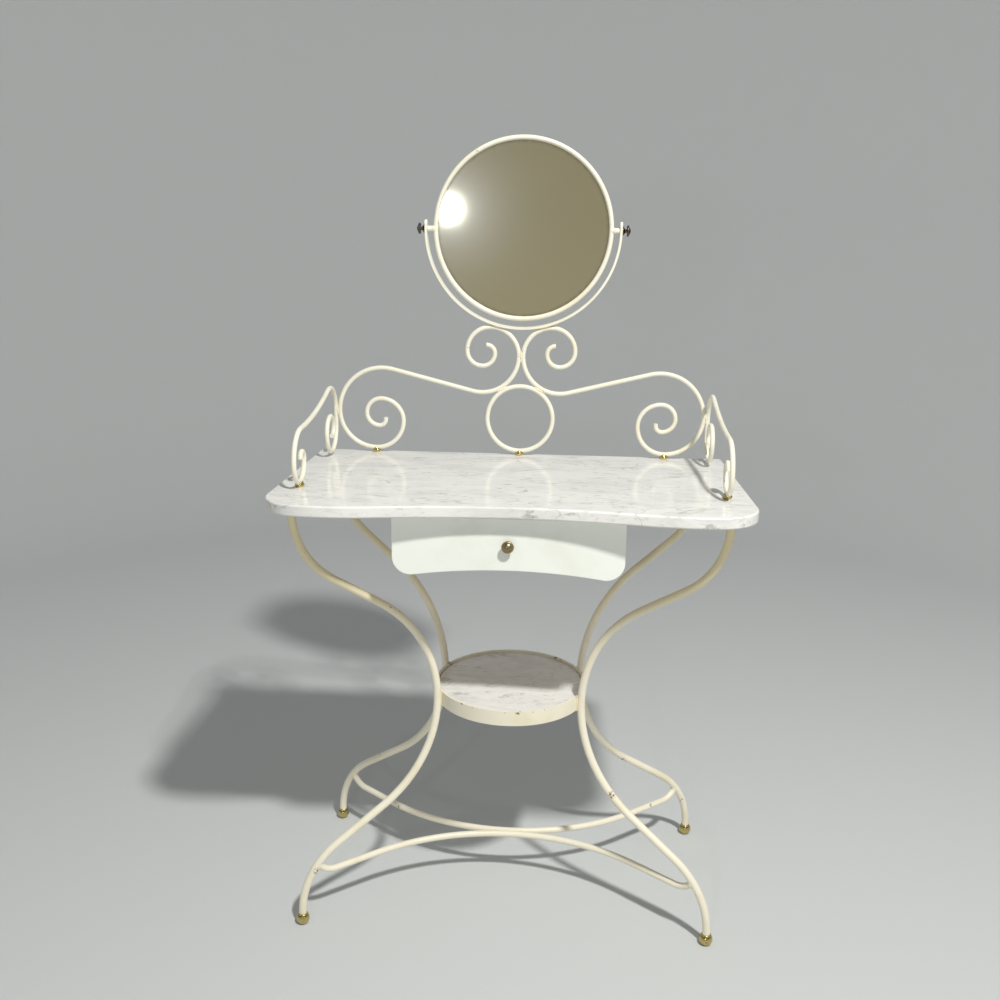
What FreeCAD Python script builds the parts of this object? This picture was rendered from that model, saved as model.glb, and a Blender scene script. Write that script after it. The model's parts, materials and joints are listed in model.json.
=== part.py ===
import FreeCAD, Part
import math
import os
from types import SimpleNamespace

import Sketcher
from FreeCAD import Placement, Rotation, Vector

# Wrought-iron dressing table with a marble top, one drawer and a round swivel mirror.
# Millimetres and degrees. +Z is up, the front faces -Y, and the origin lies on the floor
# under the middle of the marble top.

SIZES = {
    # marble top
    "table_height": 747,
    "slab_thickness": 18,
    "slab_depth": 400,
    "slab_back_width": 722,
    "slab_front_width": 742,
    "slab_bow_depth": 25,
    "slab_bow_radius": 1100,
    "slab_lobe_radius": 400,
    "slab_corner_radius": 65,
    "slab_back_corner_radius": 8,
    "slab_edge_round": 3,
    # flat-bar frame under the marble
    "frame_bar_width": 24,
    "frame_bar_thickness": 4,
    "frame_stud_offset": 6.4,
    # legs, each bent in one upright plane that passes through the middle of the shelf
    "leg_diameter": 13,
    "leg_centre_y": 20,
    "leg_top_straight": 5,
    "leg_top_run": 86,
    "leg_waist_bend": 220,
    "leg_foot_run": 96,
    "leg_foot_reach": 375.5,
    "leg_foot_straight": 1,
    # brass ball feet
    "foot_height": 20,
    "foot_ball_diameter": 22,
    "foot_pad_diameter": 10,
    "foot_collar_diameter": 16.5,
    "foot_collar_height": 4,
    "foot_pin_diameter": 7,
    "foot_pin_length": 14,
    "foot_pin_clearance": 0.1,
    # stretchers, bowed towards each other with ends curled up to the legs
    "stretcher_diameter": 11,
    "stretcher_height": 87,
    "stretcher_run": 110,
    "stretcher_curl_radius": 40,
    "stretcher_curl_rise": 19,
    # round shelf
    "shelf_height": 387,
    "shelf_radius": 128.5,
    "shelf_band_height": 25,
    "shelf_band_thickness": 3,
    "shelf_bar_width": 18,
    "shelf_bar_thickness": 3,
    "shelf_marble_thickness": 18,
    "shelf_marble_gap": 0.75,
    "shelf_marble_chamfer": 1.5,
    # welds: how far one round bar beds into the next
    "weld_sink": 0.4,
    # gallery round the back and sides of the top
    "gallery_rod_diameter": 8,
    "gallery_setback": 12,
    "spacer_height": 4,
    "spacer_saddle": 2,
    "spacer_diameter": 15,
    "spacer_bulge": 1.5,
    "stud_diameter": 5,
    "stud_hole_diameter": 6,
    "stud_length_below": 12,
    "washer_diameter": 13,
    "washer_thickness": 1.2,
    "nut_across_corners": 9.2,
    "nut_height": 4,
    "nut_bore_clearance": 0.1,
    "scroll_foot_x": 258,
    "scroll_slope": 14,
    "scroll_tip": 4,
    "scroll_turn_inner": 11,
    "scroll_turn_second": 23,
    "scroll_turn_third": 26,
    "scroll_turn_fourth": 40,
    "scroll_turn_fifth": 49,
    "scroll_turn_sixth": 66,
    "scroll_turn_outer": 78,
    "scroll_low_bend": 65,
    "curl_turn_outer": 50,
    "curl_turn_second": 41,
    "curl_turn_third": 27,
    "curl_turn_fourth": 22,
    "curl_turn_inner": 15,
    "side_foot_y": -85,
    "side_front_inner": 10,
    "side_front_second": 13,
    "side_front_third": 31,
    "side_front_fourth": 32,
    "side_front_outer": 49,
    "side_rise_start": 1,
    "side_rise_end": 16,
    "side_crest_bend": 60,
    "side_peak_bend": 47,
    "side_rear_outer": 42,
    "side_rear_second": 35,
    "side_rear_third": 28,
    "side_rear_fourth": 24,
    "side_rear_inner": 13,
    # mirror and its yoke
    "mirror_ring_radius": 150,
    "mirror_tube_diameter": 8,
    "glass_thickness": 3,
    "glass_setback": 3,
    "glass_edge_gap": 0.15,
    "pan_thickness": 1.2,
    "pan_rim_thickness": 1.5,
    "clip_width": 9,
    "clip_thickness": 1,
    "clip_overlap": 6,
    "yoke_gap": 10.5,
    "yoke_thickness": 4,
    "yoke_width": 14,
    "yoke_tip_rise": 15,
    "pivot_gap": 0.4,
    "boss_diameter": 9.5,
    "screw_diameter": 5,
    "screw_bore_clearance": 0.1,
    "screw_hole_clearance": 0.8,
    "screw_reach": 6,
    "screw_tip_gap": 1,
    # bronze knobs: thumb screws and drawer knob
    "knob_foot_diameter": 15,
    "knob_foot_height": 4,
    "knob_neck_diameter": 6,
    "knob_neck_length": 3,
    "knob_head_diameter": 19,
    "knob_rim_height": 3.5,
    "knob_dome_diameter": 13,
    "knob_dome_height": 3,
    # drawer and its runners
    "drawer_front_width": 353,
    "drawer_front_height": 93,
    "drawer_front_thickness": 12,
    "drawer_front_setback": 20,
    "drawer_top_gap": 5,
    "drawer_arch_rise": 11,
    "drawer_corner_radius": 28,
    "drawer_front_round": 1.5,
    "drawer_box_width": 300,
    "drawer_box_depth": 250,
    "drawer_side_height": 74,
    "drawer_side_thickness": 9,
    "drawer_head_gap": 6,
    "drawer_bottom_thickness": 4,
    "drawer_bottom_inset": 4,
    "drawer_batten_width": 12,
    "drawer_batten_height": 14,
    "drawer_slide_gap": 0.4,
    "drawer_side_gap": 1,
    "drawer_knob_drop": 42,
    "runner_thickness": 2,
    "runner_end_gap": 1.5,
    "knob_screw_diameter": 4,
    "knob_screw_head_diameter": 9,
    "knob_screw_head_height": 2.5,
    "knob_screw_bite": 8,
}

doc = FreeCAD.newDocument("DressingTable")
sheet = doc.addObject("Spreadsheet::Sheet", "Sizes")
for row, (alias, value) in enumerate(SIZES.items(), start=1):
    sheet.set(f"A{row}", alias)
    sheet.set(f"B{row}", str(value))
    sheet.setAlias(f"B{row}", alias)
doc.recompute()

dim = SimpleNamespace(**{alias: float(sheet.get(alias)) for alias in SIZES})
subparts = []

UP = Vector(0, 0, 1)
RIGHT = Vector(1, 0, 0)
SIDES = {"left": -1, "right": 1}
ENDS = {"front": -1, "rear": 1}

# Levels and lines shared by several pieces, with the same lines as sheet expressions.
slab_bottom = dim.table_height - dim.slab_thickness
frame_bottom = slab_bottom - dim.frame_bar_thickness
gallery_y = dim.slab_depth / 2 - dim.gallery_setback
rod_radius = dim.gallery_rod_diameter / 2
rod_foot_z = dim.table_height + dim.spacer_height + rod_radius
SLAB_BOTTOM = "Sizes.table_height - Sizes.slab_thickness"
FRAME_BOTTOM = f"{SLAB_BOTTOM} - Sizes.frame_bar_thickness"
GALLERY_Y = "Sizes.slab_depth / 2 - Sizes.gallery_setback"

# The side galleries stand outside the back scrolls, and the legs end under the stud lines.
side_x = dim.scroll_foot_x + dim.scroll_turn_sixth + dim.gallery_rod_diameter - dim.weld_sink
leg_top_y = gallery_y - dim.frame_stud_offset - dim.leg_centre_y
leg_top_reach = math.hypot(side_x, leg_top_y)
leg_angle = math.degrees(math.atan2(leg_top_y, side_x))
SIDE_X = ("(Sizes.scroll_foot_x + Sizes.scroll_turn_sixth + Sizes.gallery_rod_diameter"
          " - Sizes.weld_sink)")
LEG_TOP_Y = f"({GALLERY_Y} - Sizes.frame_stud_offset - Sizes.leg_centre_y)"


class Path:
    """Lines and arcs drawn end to end, from a start point and a heading in degrees."""

    def __init__(self, x, y, heading):
        self.x = x
        self.y = y
        self.heading = math.radians(heading)
        self.start = (x, y)
        self.steps = []

    def straight(self, length):
        """Goes straight on along the heading."""
        x = self.x + length * math.cos(self.heading)
        y = self.y + length * math.sin(self.heading)
        return self.line_to(x, y, smooth=True)

    def line_to(self, x, y, x_size=None, y_size=None, smooth=False):
        """Draws a line to a point, whose place may be tied to the sheet."""
        start = (self.x, self.y)
        self.x = x
        self.y = y
        self.steps.append(SimpleNamespace(kind="line", start=start, end=(x, y), smooth=smooth,
                                          x_size=x_size, y_size=y_size))
        return self

    def bend(self, radius, angle, size=None, smooth=True):
        """Turns left by an angle in degrees, or right by a negative one."""
        turn = math.radians(angle)
        side = math.copysign(math.pi / 2, turn)
        centre_x = self.x + radius * math.cos(self.heading + side)
        centre_y = self.y + radius * math.sin(self.heading + side)
        first = self.heading - side
        self.steps.append(SimpleNamespace(kind="arc", centre=(centre_x, centre_y), radius=radius,
                                          first=first, last=first + turn, size=size, smooth=smooth))
        self.x = centre_x + radius * math.cos(first + turn)
        self.y = centre_y + radius * math.sin(first + turn)
        self.heading += turn
        return self

    def bends(self, names, angle):
        """Turns by the same angle once for each named radius."""
        for name in names:
            self.bend(getattr(dim, name), angle, f"Sizes.{name}")
        return self

    def close(self):
        """Draws the last line back to the start."""
        return self.line_to(*self.start)


def origin_plane(body, role):
    """Finds one of a body's own origin planes."""
    return next(item for item in body.Origin.OriginFeatures if item.Role == role)


def new_body(label):
    """Makes an empty body."""
    body = doc.addObject("PartDesign::Body", label)
    body.Label = label
    return body


def new_sketch(body, name, role, offset=Vector(0, 0, 0)):
    """Makes a sketch on an origin plane of its body."""
    sketch = body.newObject("Sketcher::SketchObject", name)
    sketch.AttachmentSupport = (origin_plane(body, role), [""])
    sketch.MapMode = "FlatFace"
    sketch.AttachmentOffset = Placement(offset, Rotation())
    return sketch


def tie(sketch, name, expression, kind, *place):
    """Adds a dimension to a sketch and ties it to the sheet."""
    index = sketch.addConstraint(Sketcher.Constraint(kind, *place))
    sketch.renameConstraint(index, name)
    sketch.setExpression(f"Constraints.{name}", expression)


def draw(sketch, path, closed=False):
    """Draws a path into a sketch, joined end to end, with its sizes tied to the sheet."""
    ends = []
    for number, step in enumerate(path.steps):
        if step.kind == "line":
            shape = Part.LineSegment(Vector(*step.start, 0), Vector(*step.end, 0))
            first, last = 1, 2
        else:
            circle = Part.Circle(Vector(*step.centre, 0), UP, step.radius)
            low, high = sorted((step.first, step.last))
            shape = Part.ArcOfCircle(circle, low, high)
            first, last = (1, 2) if step.last > step.first else (2, 1)
        index = sketch.addGeometry(shape, False)
        if ends:
            kind = "Tangent" if step.smooth else "Coincident"
            sketch.addConstraint(Sketcher.Constraint(kind, *ends[-1][2:], index, first))
        ends.append((index, first, index, last))
        if step.kind == "arc" and step.size:
            tie(sketch, f"bend_{number}", step.size, "Radius", index, step.radius)
        if step.kind == "line" and step.x_size:
            tie(sketch, f"across_{number}", step.x_size, "DistanceX", -1, 1, index, last, step.end[0])
        if step.kind == "line" and step.y_size:
            tie(sketch, f"along_{number}", step.y_size, "DistanceY", -1, 1, index, last, step.end[1])
    if closed:
        sketch.addConstraint(Sketcher.Constraint("Coincident", *ends[-1][2:], *ends[0][:2]))


def bent_rod(label, path, diameter, place=Placement()):
    """Sweeps a round bar along a path in the upright plane; the path starts upright."""
    body = new_body(label)
    spine = new_sketch(body, f"{label}_line", "XZ_Plane")
    draw(spine, path)
    start = Vector(path.start[0], 0, path.start[1])
    section = new_sketch(body, f"{label}_section", "XY_Plane", start)
    circle = section.addGeometry(Part.Circle(Vector(0, 0, 0), UP, getattr(dim, diameter) / 2), False)
    section.addConstraint(Sketcher.Constraint("Coincident", circle, 3, -1, 1))
    tie(section, "diameter", f"Sizes.{diameter}", "Diameter", circle, getattr(dim, diameter))
    pipe = body.newObject("PartDesign::AdditivePipe", f"{label}_bar")
    pipe.Profile = section
    pipe.Spine = spine
    body.Placement = place
    return body


def padded(label, path, length, role="XY_Plane", place=Placement()):
    """Pads a closed outline by a length from the sheet."""
    body = new_body(label)
    outline = new_sketch(body, f"{label}_outline", role)
    draw(outline, path, closed=True)
    pad = body.newObject("PartDesign::Pad", f"{label}_pad")
    pad.Profile = outline
    pad.setExpression("Length", length)
    body.Placement = place
    return body


def turned(label, path, place=Placement()):
    """Revolves a closed half outline about the upright axis of its body."""
    body = new_body(label)
    outline = new_sketch(body, f"{label}_outline", "XZ_Plane")
    draw(outline, path, closed=True)
    lathe = body.newObject("PartDesign::Revolution", f"{label}_turning")
    lathe.Profile = outline
    lathe.ReferenceAxis = (outline, ["V_Axis"])
    lathe.Angle = 360
    body.Placement = place
    return body


def rounded(body, radius, choose):
    """Rounds the edges of a body that a test chooses."""
    doc.recompute()
    base = body.Tip
    shape = base.Shape
    names = [f"Edge{n}" for n, edge in enumerate(shape.Edges, start=1) if choose(edge)]
    fillet = body.newObject("PartDesign::Fillet", f"{body.Name}_round")
    fillet.Base = (base, names)
    fillet.setExpression("Radius", radius)
    return body


def box(label, length, width, height, x, y, z):
    """Makes a block from sheet expressions: its three sizes and its lowest corner."""
    block = doc.addObject("Part::Box", label)
    block.Label = label
    for name, expression in (("Length", length), ("Width", width), ("Height", height),
                             ("Placement.Base.x", x), ("Placement.Base.y", y), ("Placement.Base.z", z)):
        block.setExpression(name, expression)
    return block


def cylinder(label, radius, height, x, y, z, axis=UP):
    """Makes a cylinder from sheet expressions, with its base centre at a point."""
    rod = doc.addObject("Part::Cylinder", label)
    rod.Label = label
    rod.Placement = Placement(Vector(0, 0, 0), Rotation(UP, axis))
    for name, expression in (("Radius", radius), ("Height", height), ("Placement.Base.x", x),
                             ("Placement.Base.y", y), ("Placement.Base.z", z)):
        rod.setExpression(name, expression)
    return rod


def cut(label, base, *tools):
    """Cuts a piece back to the faces of the pieces that it meets."""
    for number, tool in enumerate(tools, start=1):
        last = number == len(tools)
        piece = doc.addObject("Part::Cut", label if last else f"{label}_fit_{number}")
        piece.Base = base
        piece.Tool = tool
        base = piece
    base.Label = label
    return base


def group(label, pieces):
    """Gathers like pieces in one node, as separate solids."""
    gathered = doc.addObject("Part::Compound", label)
    gathered.Label = label
    gathered.Links = pieces
    return gathered


def keep(*pieces):
    """Lists finished sub-parts to be written out."""
    subparts.extend(pieces)


def s_bend(across, up, run, first_bend):
    """Finds the lean in degrees and the second bend of an S between two upright ends."""
    lean = 2 * math.atan(across / (up + run))
    both_bends = (up - run * math.cos(lean)) / math.sin(lean)
    return math.degrees(lean), both_bends - first_bend


# Legs: upright at the top, in to the waist at the shelf, out again and upright at the foot.
waist_z = dim.shelf_height - dim.shelf_band_height / 2
waist_reach = dim.shelf_radius + dim.leg_diameter / 2 - dim.weld_sink
leg_bend_top = frame_bottom - dim.leg_top_straight
leg_bend_foot = dim.foot_height + dim.leg_foot_straight
top_lean, top_bend = s_bend(leg_top_reach - waist_reach, leg_bend_top - waist_z,
                            dim.leg_top_run, dim.leg_waist_bend)
foot_lean, foot_bend = s_bend(dim.leg_foot_reach - waist_reach, waist_z - leg_bend_foot,
                              dim.leg_foot_run, dim.leg_waist_bend)


def leg_path():
    """Gives the centre line of a leg from its top, in reach and height."""
    path = Path(leg_top_reach, frame_bottom, -90)
    path.straight(dim.leg_top_straight)
    path.bend(top_bend, -top_lean)
    path.straight(dim.leg_top_run)
    path.bend(dim.leg_waist_bend, top_lean + foot_lean, "Sizes.leg_waist_bend")
    path.straight(dim.leg_foot_run)
    path.bend(foot_bend, -foot_lean)
    return path.straight(dim.leg_foot_straight)


def leg_reach(height):
    """Gives how far a leg stands from the middle at a height near its foot."""
    rise = height - leg_bend_foot
    lean = math.radians(foot_lean)
    bend_centre = dim.leg_foot_reach - foot_bend
    bend_rise = foot_bend * math.sin(lean)
    if rise <= bend_rise:
        return bend_centre + math.sqrt(foot_bend ** 2 - rise ** 2)
    return bend_centre + foot_bend * math.cos(lean) - (rise - bend_rise) * math.tan(lean)


def leg_turn(side, end):
    """Gives the turn about the upright axis that faces a leg to its corner."""
    angle = end * leg_angle if side > 0 else 180 - end * leg_angle
    return Placement(Vector(0, dim.leg_centre_y, 0), Rotation(UP, angle))


def foot_path():
    """Gives the half outline of a ball foot: pad, ball, collar bead and pin."""
    ball = dim.foot_ball_diameter / 2
    pad = dim.foot_pad_diameter / 2
    bead = dim.foot_collar_height / 2
    collar = dim.foot_collar_diameter / 2 - bead
    pin = dim.foot_pin_diameter / 2
    ball_z = math.sqrt(ball ** 2 - pad ** 2)
    neck_z = dim.foot_height - dim.foot_collar_height
    start_angle = math.degrees(math.atan2(-ball_z, pad))
    end_angle = math.degrees(math.asin((neck_z - ball_z) / ball))
    path = Path(0, 0, 0).line_to(pad, 0, "Sizes.foot_pad_diameter / 2")
    path.heading = math.radians(start_angle + 90)
    path.bend(ball, end_angle - start_angle, "Sizes.foot_ball_diameter / 2", smooth=False)
    path.line_to(collar, neck_z, y_size="Sizes.foot_height - Sizes.foot_collar_height")
    path.heading = 0
    path.bend(bead, 180, "Sizes.foot_collar_height / 2", smooth=False)
    path.line_to(pin, dim.foot_height, "Sizes.foot_pin_diameter / 2", "Sizes.foot_height")
    path.line_to(pin, dim.foot_height + dim.foot_pin_length, "Sizes.foot_pin_diameter / 2",
                 "Sizes.foot_height + Sizes.foot_pin_length")
    path.line_to(0, dim.foot_height + dim.foot_pin_length)
    return path.close()


def make_leg(label, turn):
    """Bends a leg and bores its lower end for the pin of its foot."""
    bar = bent_rod(f"{label}_bar", leg_path(), "leg_diameter", turn)
    bore_place = turn.multVec(Vector(dim.leg_foot_reach, 0, 0))
    bore = cylinder(f"{label}_bore", "Sizes.foot_pin_diameter / 2 + Sizes.foot_pin_clearance",
                    "Sizes.foot_pin_length + Sizes.foot_pin_clearance",
                    str(bore_place.x), str(bore_place.y), "Sizes.foot_height")
    return cut(label, bar, bore)


legs = {}
for end_name, end in ENDS.items():
    for side_name, side in SIDES.items():
        turn = leg_turn(side, end)
        legs[end_name, side_name] = make_leg(f"leg_{end_name}_{side_name}", turn)
        foot_place = turn.multVec(Vector(dim.leg_foot_reach, 0, 0))
        keep(legs[end_name, side_name],
             turned(f"foot_{end_name}_{side_name}", foot_path(), Placement(foot_place, Rotation())))


# Stretchers: a flat bow, a straight run to each side, and a curl up to the leg.
def stretcher_bar(label, end):
    """Sweeps a stretcher whose ends lie on the centre lines of its two legs."""
    angle = math.radians(leg_angle)
    reach = leg_reach(dim.stretcher_height + dim.stretcher_curl_rise)
    inner = (dim.stretcher_diameter - dim.weld_sink) / 2
    run = dim.stretcher_run
    across = reach * math.cos(angle)
    out = reach * math.sin(angle) - inner
    bow = (across ** 2 + out ** 2 - run ** 2) / (2 * out)
    lean = math.atan2(out - bow, across) - math.atan2(-bow, run)
    curl = dim.stretcher_curl_radius
    curl_turn = math.acos(1 - dim.stretcher_curl_rise / curl)
    curl_run = curl * math.sin(curl_turn)

    def point(side, x, y, rise=0):
        """Places a point of the right front quarter on any of the four quarters."""
        return Vector(side * x, dim.leg_centre_y + end * (inner + y), dim.stretcher_height + rise)

    def along(side, x, y, turn):
        """Gives a point of the curl after it has turned up by an angle."""
        ahead = curl * math.sin(turn)
        rise = curl * (1 - math.cos(turn))
        return point(side, x + ahead * math.cos(lean), y + ahead * math.sin(lean), rise)

    bow_end = (bow * math.sin(lean), bow * (1 - math.cos(lean)))
    level_run = run - curl_run
    curl_start = (bow_end[0] + level_run * math.cos(lean), bow_end[1] + level_run * math.sin(lean))

    def half(side):
        """Gives the straight run and the curl of one side, outwards."""
        straight = Part.LineSegment(point(side, *bow_end), point(side, *curl_start))
        middle = along(side, *curl_start, curl_turn / 2)
        tip = along(side, *curl_start, curl_turn)
        return [straight.toShape(), Part.Arc(point(side, *curl_start), middle, tip).toShape()]

    bow_arc = Part.Arc(point(-1, *bow_end), point(1, 0, 0), point(1, *bow_end)).toShape()
    line = Part.Wire(Part.__sortEdges__(half(-1) + [bow_arc] + half(1)))
    tip = along(-1, *curl_start, curl_turn)
    before = along(-1, *curl_start, curl_turn * 0.999)
    section = Part.Wire(Part.Circle(tip, tip - before, dim.stretcher_diameter / 2).toShape())
    bar = doc.addObject("Part::Feature", label)
    bar.Shape = line.makePipeShell([section], True, False)
    return bar


stretcher_bars = {name: stretcher_bar(f"stretcher_{name}_bar", end) for name, end in ENDS.items()}
keep(cut("stretcher_rear", stretcher_bars["rear"], legs["rear", "left"], legs["rear", "right"]))
keep(cut("stretcher_front", stretcher_bars["front"], legs["front", "left"], legs["front", "right"],
         stretcher_bars["rear"]))

# Shelf: a flat-band hoop between the legs, a cross in its lower edge and a marble disc.
SHELF_BOTTOM = "Sizes.shelf_height - Sizes.shelf_band_height"
SHELF_BORE = "Sizes.shelf_radius - Sizes.shelf_band_thickness"
hoop_outside = cylinder("hoop_outside", "Sizes.shelf_radius", "Sizes.shelf_band_height",
                        "0", "Sizes.leg_centre_y", SHELF_BOTTOM)
hoop_inside = cylinder("hoop_inside", SHELF_BORE, "Sizes.shelf_band_height",
                       "0", "Sizes.leg_centre_y", SHELF_BOTTOM)
keep(cut("shelf_ring", hoop_outside, hoop_inside, *legs.values()))

cross_bars = []
for number, quarter in enumerate((45, 135), start=1):
    bar = doc.addObject("Part::Box", f"shelf_bar_{number}")
    bar.setExpression("Length", "2 * Sizes.shelf_radius")
    bar.setExpression("Width", "Sizes.shelf_bar_width")
    bar.setExpression("Height", "Sizes.shelf_bar_thickness")
    corner = Rotation(UP, quarter).multVec(Vector(-dim.shelf_radius, -dim.shelf_bar_width / 2, 0))
    centre = Vector(0, dim.leg_centre_y, dim.shelf_height - dim.shelf_band_height)
    bar.Placement = Placement(centre + corner, Rotation(UP, quarter))
    cross_bars.append(bar)
cross_joined = doc.addObject("Part::Fuse", "cross_joined")
cross_joined.Base, cross_joined.Tool = cross_bars
shelf_cross = doc.addObject("Part::Common", "shelf_cross")
shelf_cross.Base = cross_joined
shelf_cross.Tool = hoop_inside
keep(shelf_cross)

shelf_disc = cylinder("shelf_disc", f"{SHELF_BORE} - Sizes.shelf_marble_gap", "Sizes.shelf_marble_thickness",
                      "0", "Sizes.leg_centre_y", f"{SHELF_BOTTOM} + Sizes.shelf_bar_thickness")
doc.recompute()
shelf_marble = doc.addObject("Part::Chamfer", "shelf_marble")
shelf_marble.Base = shelf_disc
shelf_marble.Edges = [(number, dim.shelf_marble_chamfer, dim.shelf_marble_chamfer)
                      for number, edge in enumerate(shelf_disc.Shape.Edges, start=1) if edge.Closed]
keep(shelf_marble)


# Marble top: straight back, slightly flared sides, round front corners and a hollowed front.
def slab_path():
    """Gives the outline of the marble top, clockwise from the middle of the back."""
    half_depth = dim.slab_depth / 2
    half_back = dim.slab_back_width / 2
    corner = dim.slab_corner_radius
    lobe = dim.slab_lobe_radius
    bow = dim.slab_bow_radius
    lobe_x = math.sqrt((bow + lobe) ** 2 - (bow + lobe - dim.slab_bow_depth) ** 2)
    lobe_y = lobe - half_depth
    bow_turn = math.degrees(math.asin(lobe_x / (bow + lobe)))
    corner_x = dim.slab_front_width / 2 - corner
    corner_y = lobe_y - math.sqrt((lobe - corner) ** 2 - (corner_x - lobe_x) ** 2)
    lobe_turn = math.degrees(math.atan2(corner_x - lobe_x, lobe_y - corner_y))
    reach = math.hypot(corner_x - half_back, corner_y - half_depth)
    down = math.atan2(corner_y - half_depth, corner_x - half_back) + math.asin(corner / reach)
    side_turn = -math.degrees(down)
    side = math.sqrt(reach ** 2 - corner ** 2)
    cut_back = dim.slab_back_corner_radius * math.tan(math.radians(side_turn) / 2)

    path = Path(-half_back + cut_back, half_depth, 0)
    path.straight(dim.slab_back_width - 2 * cut_back)
    path.bend(dim.slab_back_corner_radius, -side_turn, "Sizes.slab_back_corner_radius")
    path.straight(side - cut_back)
    path.bend(corner, side_turn + lobe_turn - 180, "Sizes.slab_corner_radius")
    path.bend(lobe, -lobe_turn - bow_turn, "Sizes.slab_lobe_radius")
    path.bend(bow, 2 * bow_turn, "Sizes.slab_bow_radius")
    path.bend(lobe, -lobe_turn - bow_turn, "Sizes.slab_lobe_radius")
    path.bend(corner, side_turn + lobe_turn - 180, "Sizes.slab_corner_radius")
    path.straight(side - cut_back)
    return path.bend(dim.slab_back_corner_radius, -side_turn, "Sizes.slab_back_corner_radius")


def is_level(edge):
    """Tells an edge that lies level from an upright one."""
    return edge.BoundBox.ZLength < edge.Length / 2


slab_stone = padded("slab_stone", slab_path(), "Sizes.slab_thickness",
                    place=Placement(Vector(0, 0, slab_bottom), Rotation()))
rounded(slab_stone, "Sizes.slab_edge_round", is_level)


# Gallery: scrolls bent from round bar, spiral by spiral, from the inner end outwards.
def scroll_path():
    """Gives the right back scroll: lower spiral, slope, and upper curl beside the middle."""
    slope = math.radians(dim.scroll_slope)
    low = dim.scroll_low_bend
    inner = ("scroll_turn_inner", "scroll_turn_second", "scroll_turn_third",
             "scroll_turn_fourth", "scroll_turn_fifth")
    spiral = Path(0, 0, -90).straight(dim.scroll_tip).bends(inner, 90)
    path = Path(dim.scroll_foot_x - spiral.x, rod_foot_z - spiral.y, -90)
    path.straight(dim.scroll_tip).bends(inner + ("scroll_turn_sixth",), 90)
    path.bend(dim.scroll_turn_outer, 90 + dim.scroll_slope, "Sizes.scroll_turn_outer")
    middle = rod_radius - dim.weld_sink / 2
    path.straight((path.x - middle - low * (1 + math.sin(slope))) / math.cos(slope))
    path.bend(low, -90 - dim.scroll_slope, "Sizes.scroll_low_bend")
    return path.bends(("curl_turn_outer", "curl_turn_second", "curl_turn_third",
                       "curl_turn_fourth", "curl_turn_inner"), -90)


def mirrored(path):
    """Gives the same path on the other side of the middle."""
    other = Path(-path.start[0], path.start[1], -90)
    for step in path.steps:
        if step.kind == "line":
            other.straight(math.dist(step.start, step.end))
        else:
            other.bend(step.radius, -math.degrees(step.last - step.first), step.size)
    return other


def arc_centre(path, size):
    """Finds the centre of the arc of a path that has a size from the sheet."""
    return next(step.centre for step in path.steps if step.kind == "arc" and step.size == size)


scroll_line = scroll_path()
low_centre = arc_centre(scroll_line, "Sizes.scroll_low_bend")
curl_centre = arc_centre(scroll_line, "Sizes.curl_turn_outer")

# The ring stands on its spacer and touches the low bends of both scrolls.
ring_reach = dim.scroll_low_bend + dim.gallery_rod_diameter - dim.weld_sink
ring_rise = low_centre[1] - rod_foot_z
ring_radius = (low_centre[0] ** 2 + ring_rise ** 2 - ring_reach ** 2) / (2 * (ring_rise + ring_reach))


def side_path():
    """Gives a side gallery in depth and height: front spiral, rise to the back, rear spiral."""
    low = math.radians(dim.side_rise_start)
    high = math.radians(dim.side_rise_end)
    inner = ("side_front_inner", "side_front_second", "side_front_third")
    spiral = Path(0, 0, 90).bends(inner, -90)
    path = Path(dim.side_foot_y - spiral.x, rod_foot_z - spiral.y, 90)
    path.bends(inner + ("side_front_fourth",), -90)
    path.bend(dim.side_front_outer, dim.side_rise_start - 90, "Sizes.side_front_outer")
    saddle_run = gallery_y - dim.side_peak_bend - dim.side_crest_bend * math.sin(high) - path.x
    path.bend(saddle_run / (math.sin(high) - math.sin(low)), dim.side_rise_end - dim.side_rise_start)
    path.bend(dim.side_crest_bend, -dim.side_rise_end, "Sizes.side_crest_bend")
    path.bend(dim.side_peak_bend, -90, "Sizes.side_peak_bend")
    path.straight(path.y - rod_foot_z - dim.side_rear_outer)
    return path.bends(("side_rear_outer", "side_rear_second", "side_rear_third",
                       "side_rear_fourth", "side_rear_inner"), -90)


back_plane = Placement(Vector(0, gallery_y, 0), Rotation())
scroll_bars = {
    "left": bent_rod("scroll_left_bar", mirrored(scroll_line), "gallery_rod_diameter", back_plane),
    "right": bent_rod("scroll_right_bar", scroll_line, "gallery_rod_diameter", back_plane),
}
side_bars = {
    name: bent_rod(f"side_{name}_bar", side_path(), "gallery_rod_diameter",
                   Placement(Vector(side * side_x, 0, 0), Rotation(UP, 90)))
    for name, side in SIDES.items()
}
ring_bar = doc.addObject("Part::Torus", "ring_bar")
ring_bar.Radius1 = ring_radius
ring_bar.setExpression("Radius2", "Sizes.gallery_rod_diameter / 2")
ring_bar.Placement = Placement(Vector(0, gallery_y, rod_foot_z + ring_radius), Rotation(RIGHT, 90))

# Mirror yoke: a flat bar bent to a U that rests on the upper curls of the scrolls.
yoke_inside = dim.mirror_ring_radius + dim.mirror_tube_diameter / 2 + dim.yoke_gap
yoke_outside = yoke_inside + dim.yoke_thickness
yoke_reach = yoke_outside + dim.curl_turn_outer + rod_radius - dim.weld_sink
pivot_z = curl_centre[1] + math.sqrt(yoke_reach ** 2 - curl_centre[0] ** 2)
YOKE_INSIDE = "Sizes.mirror_ring_radius + Sizes.mirror_tube_diameter / 2 + Sizes.yoke_gap"


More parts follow.
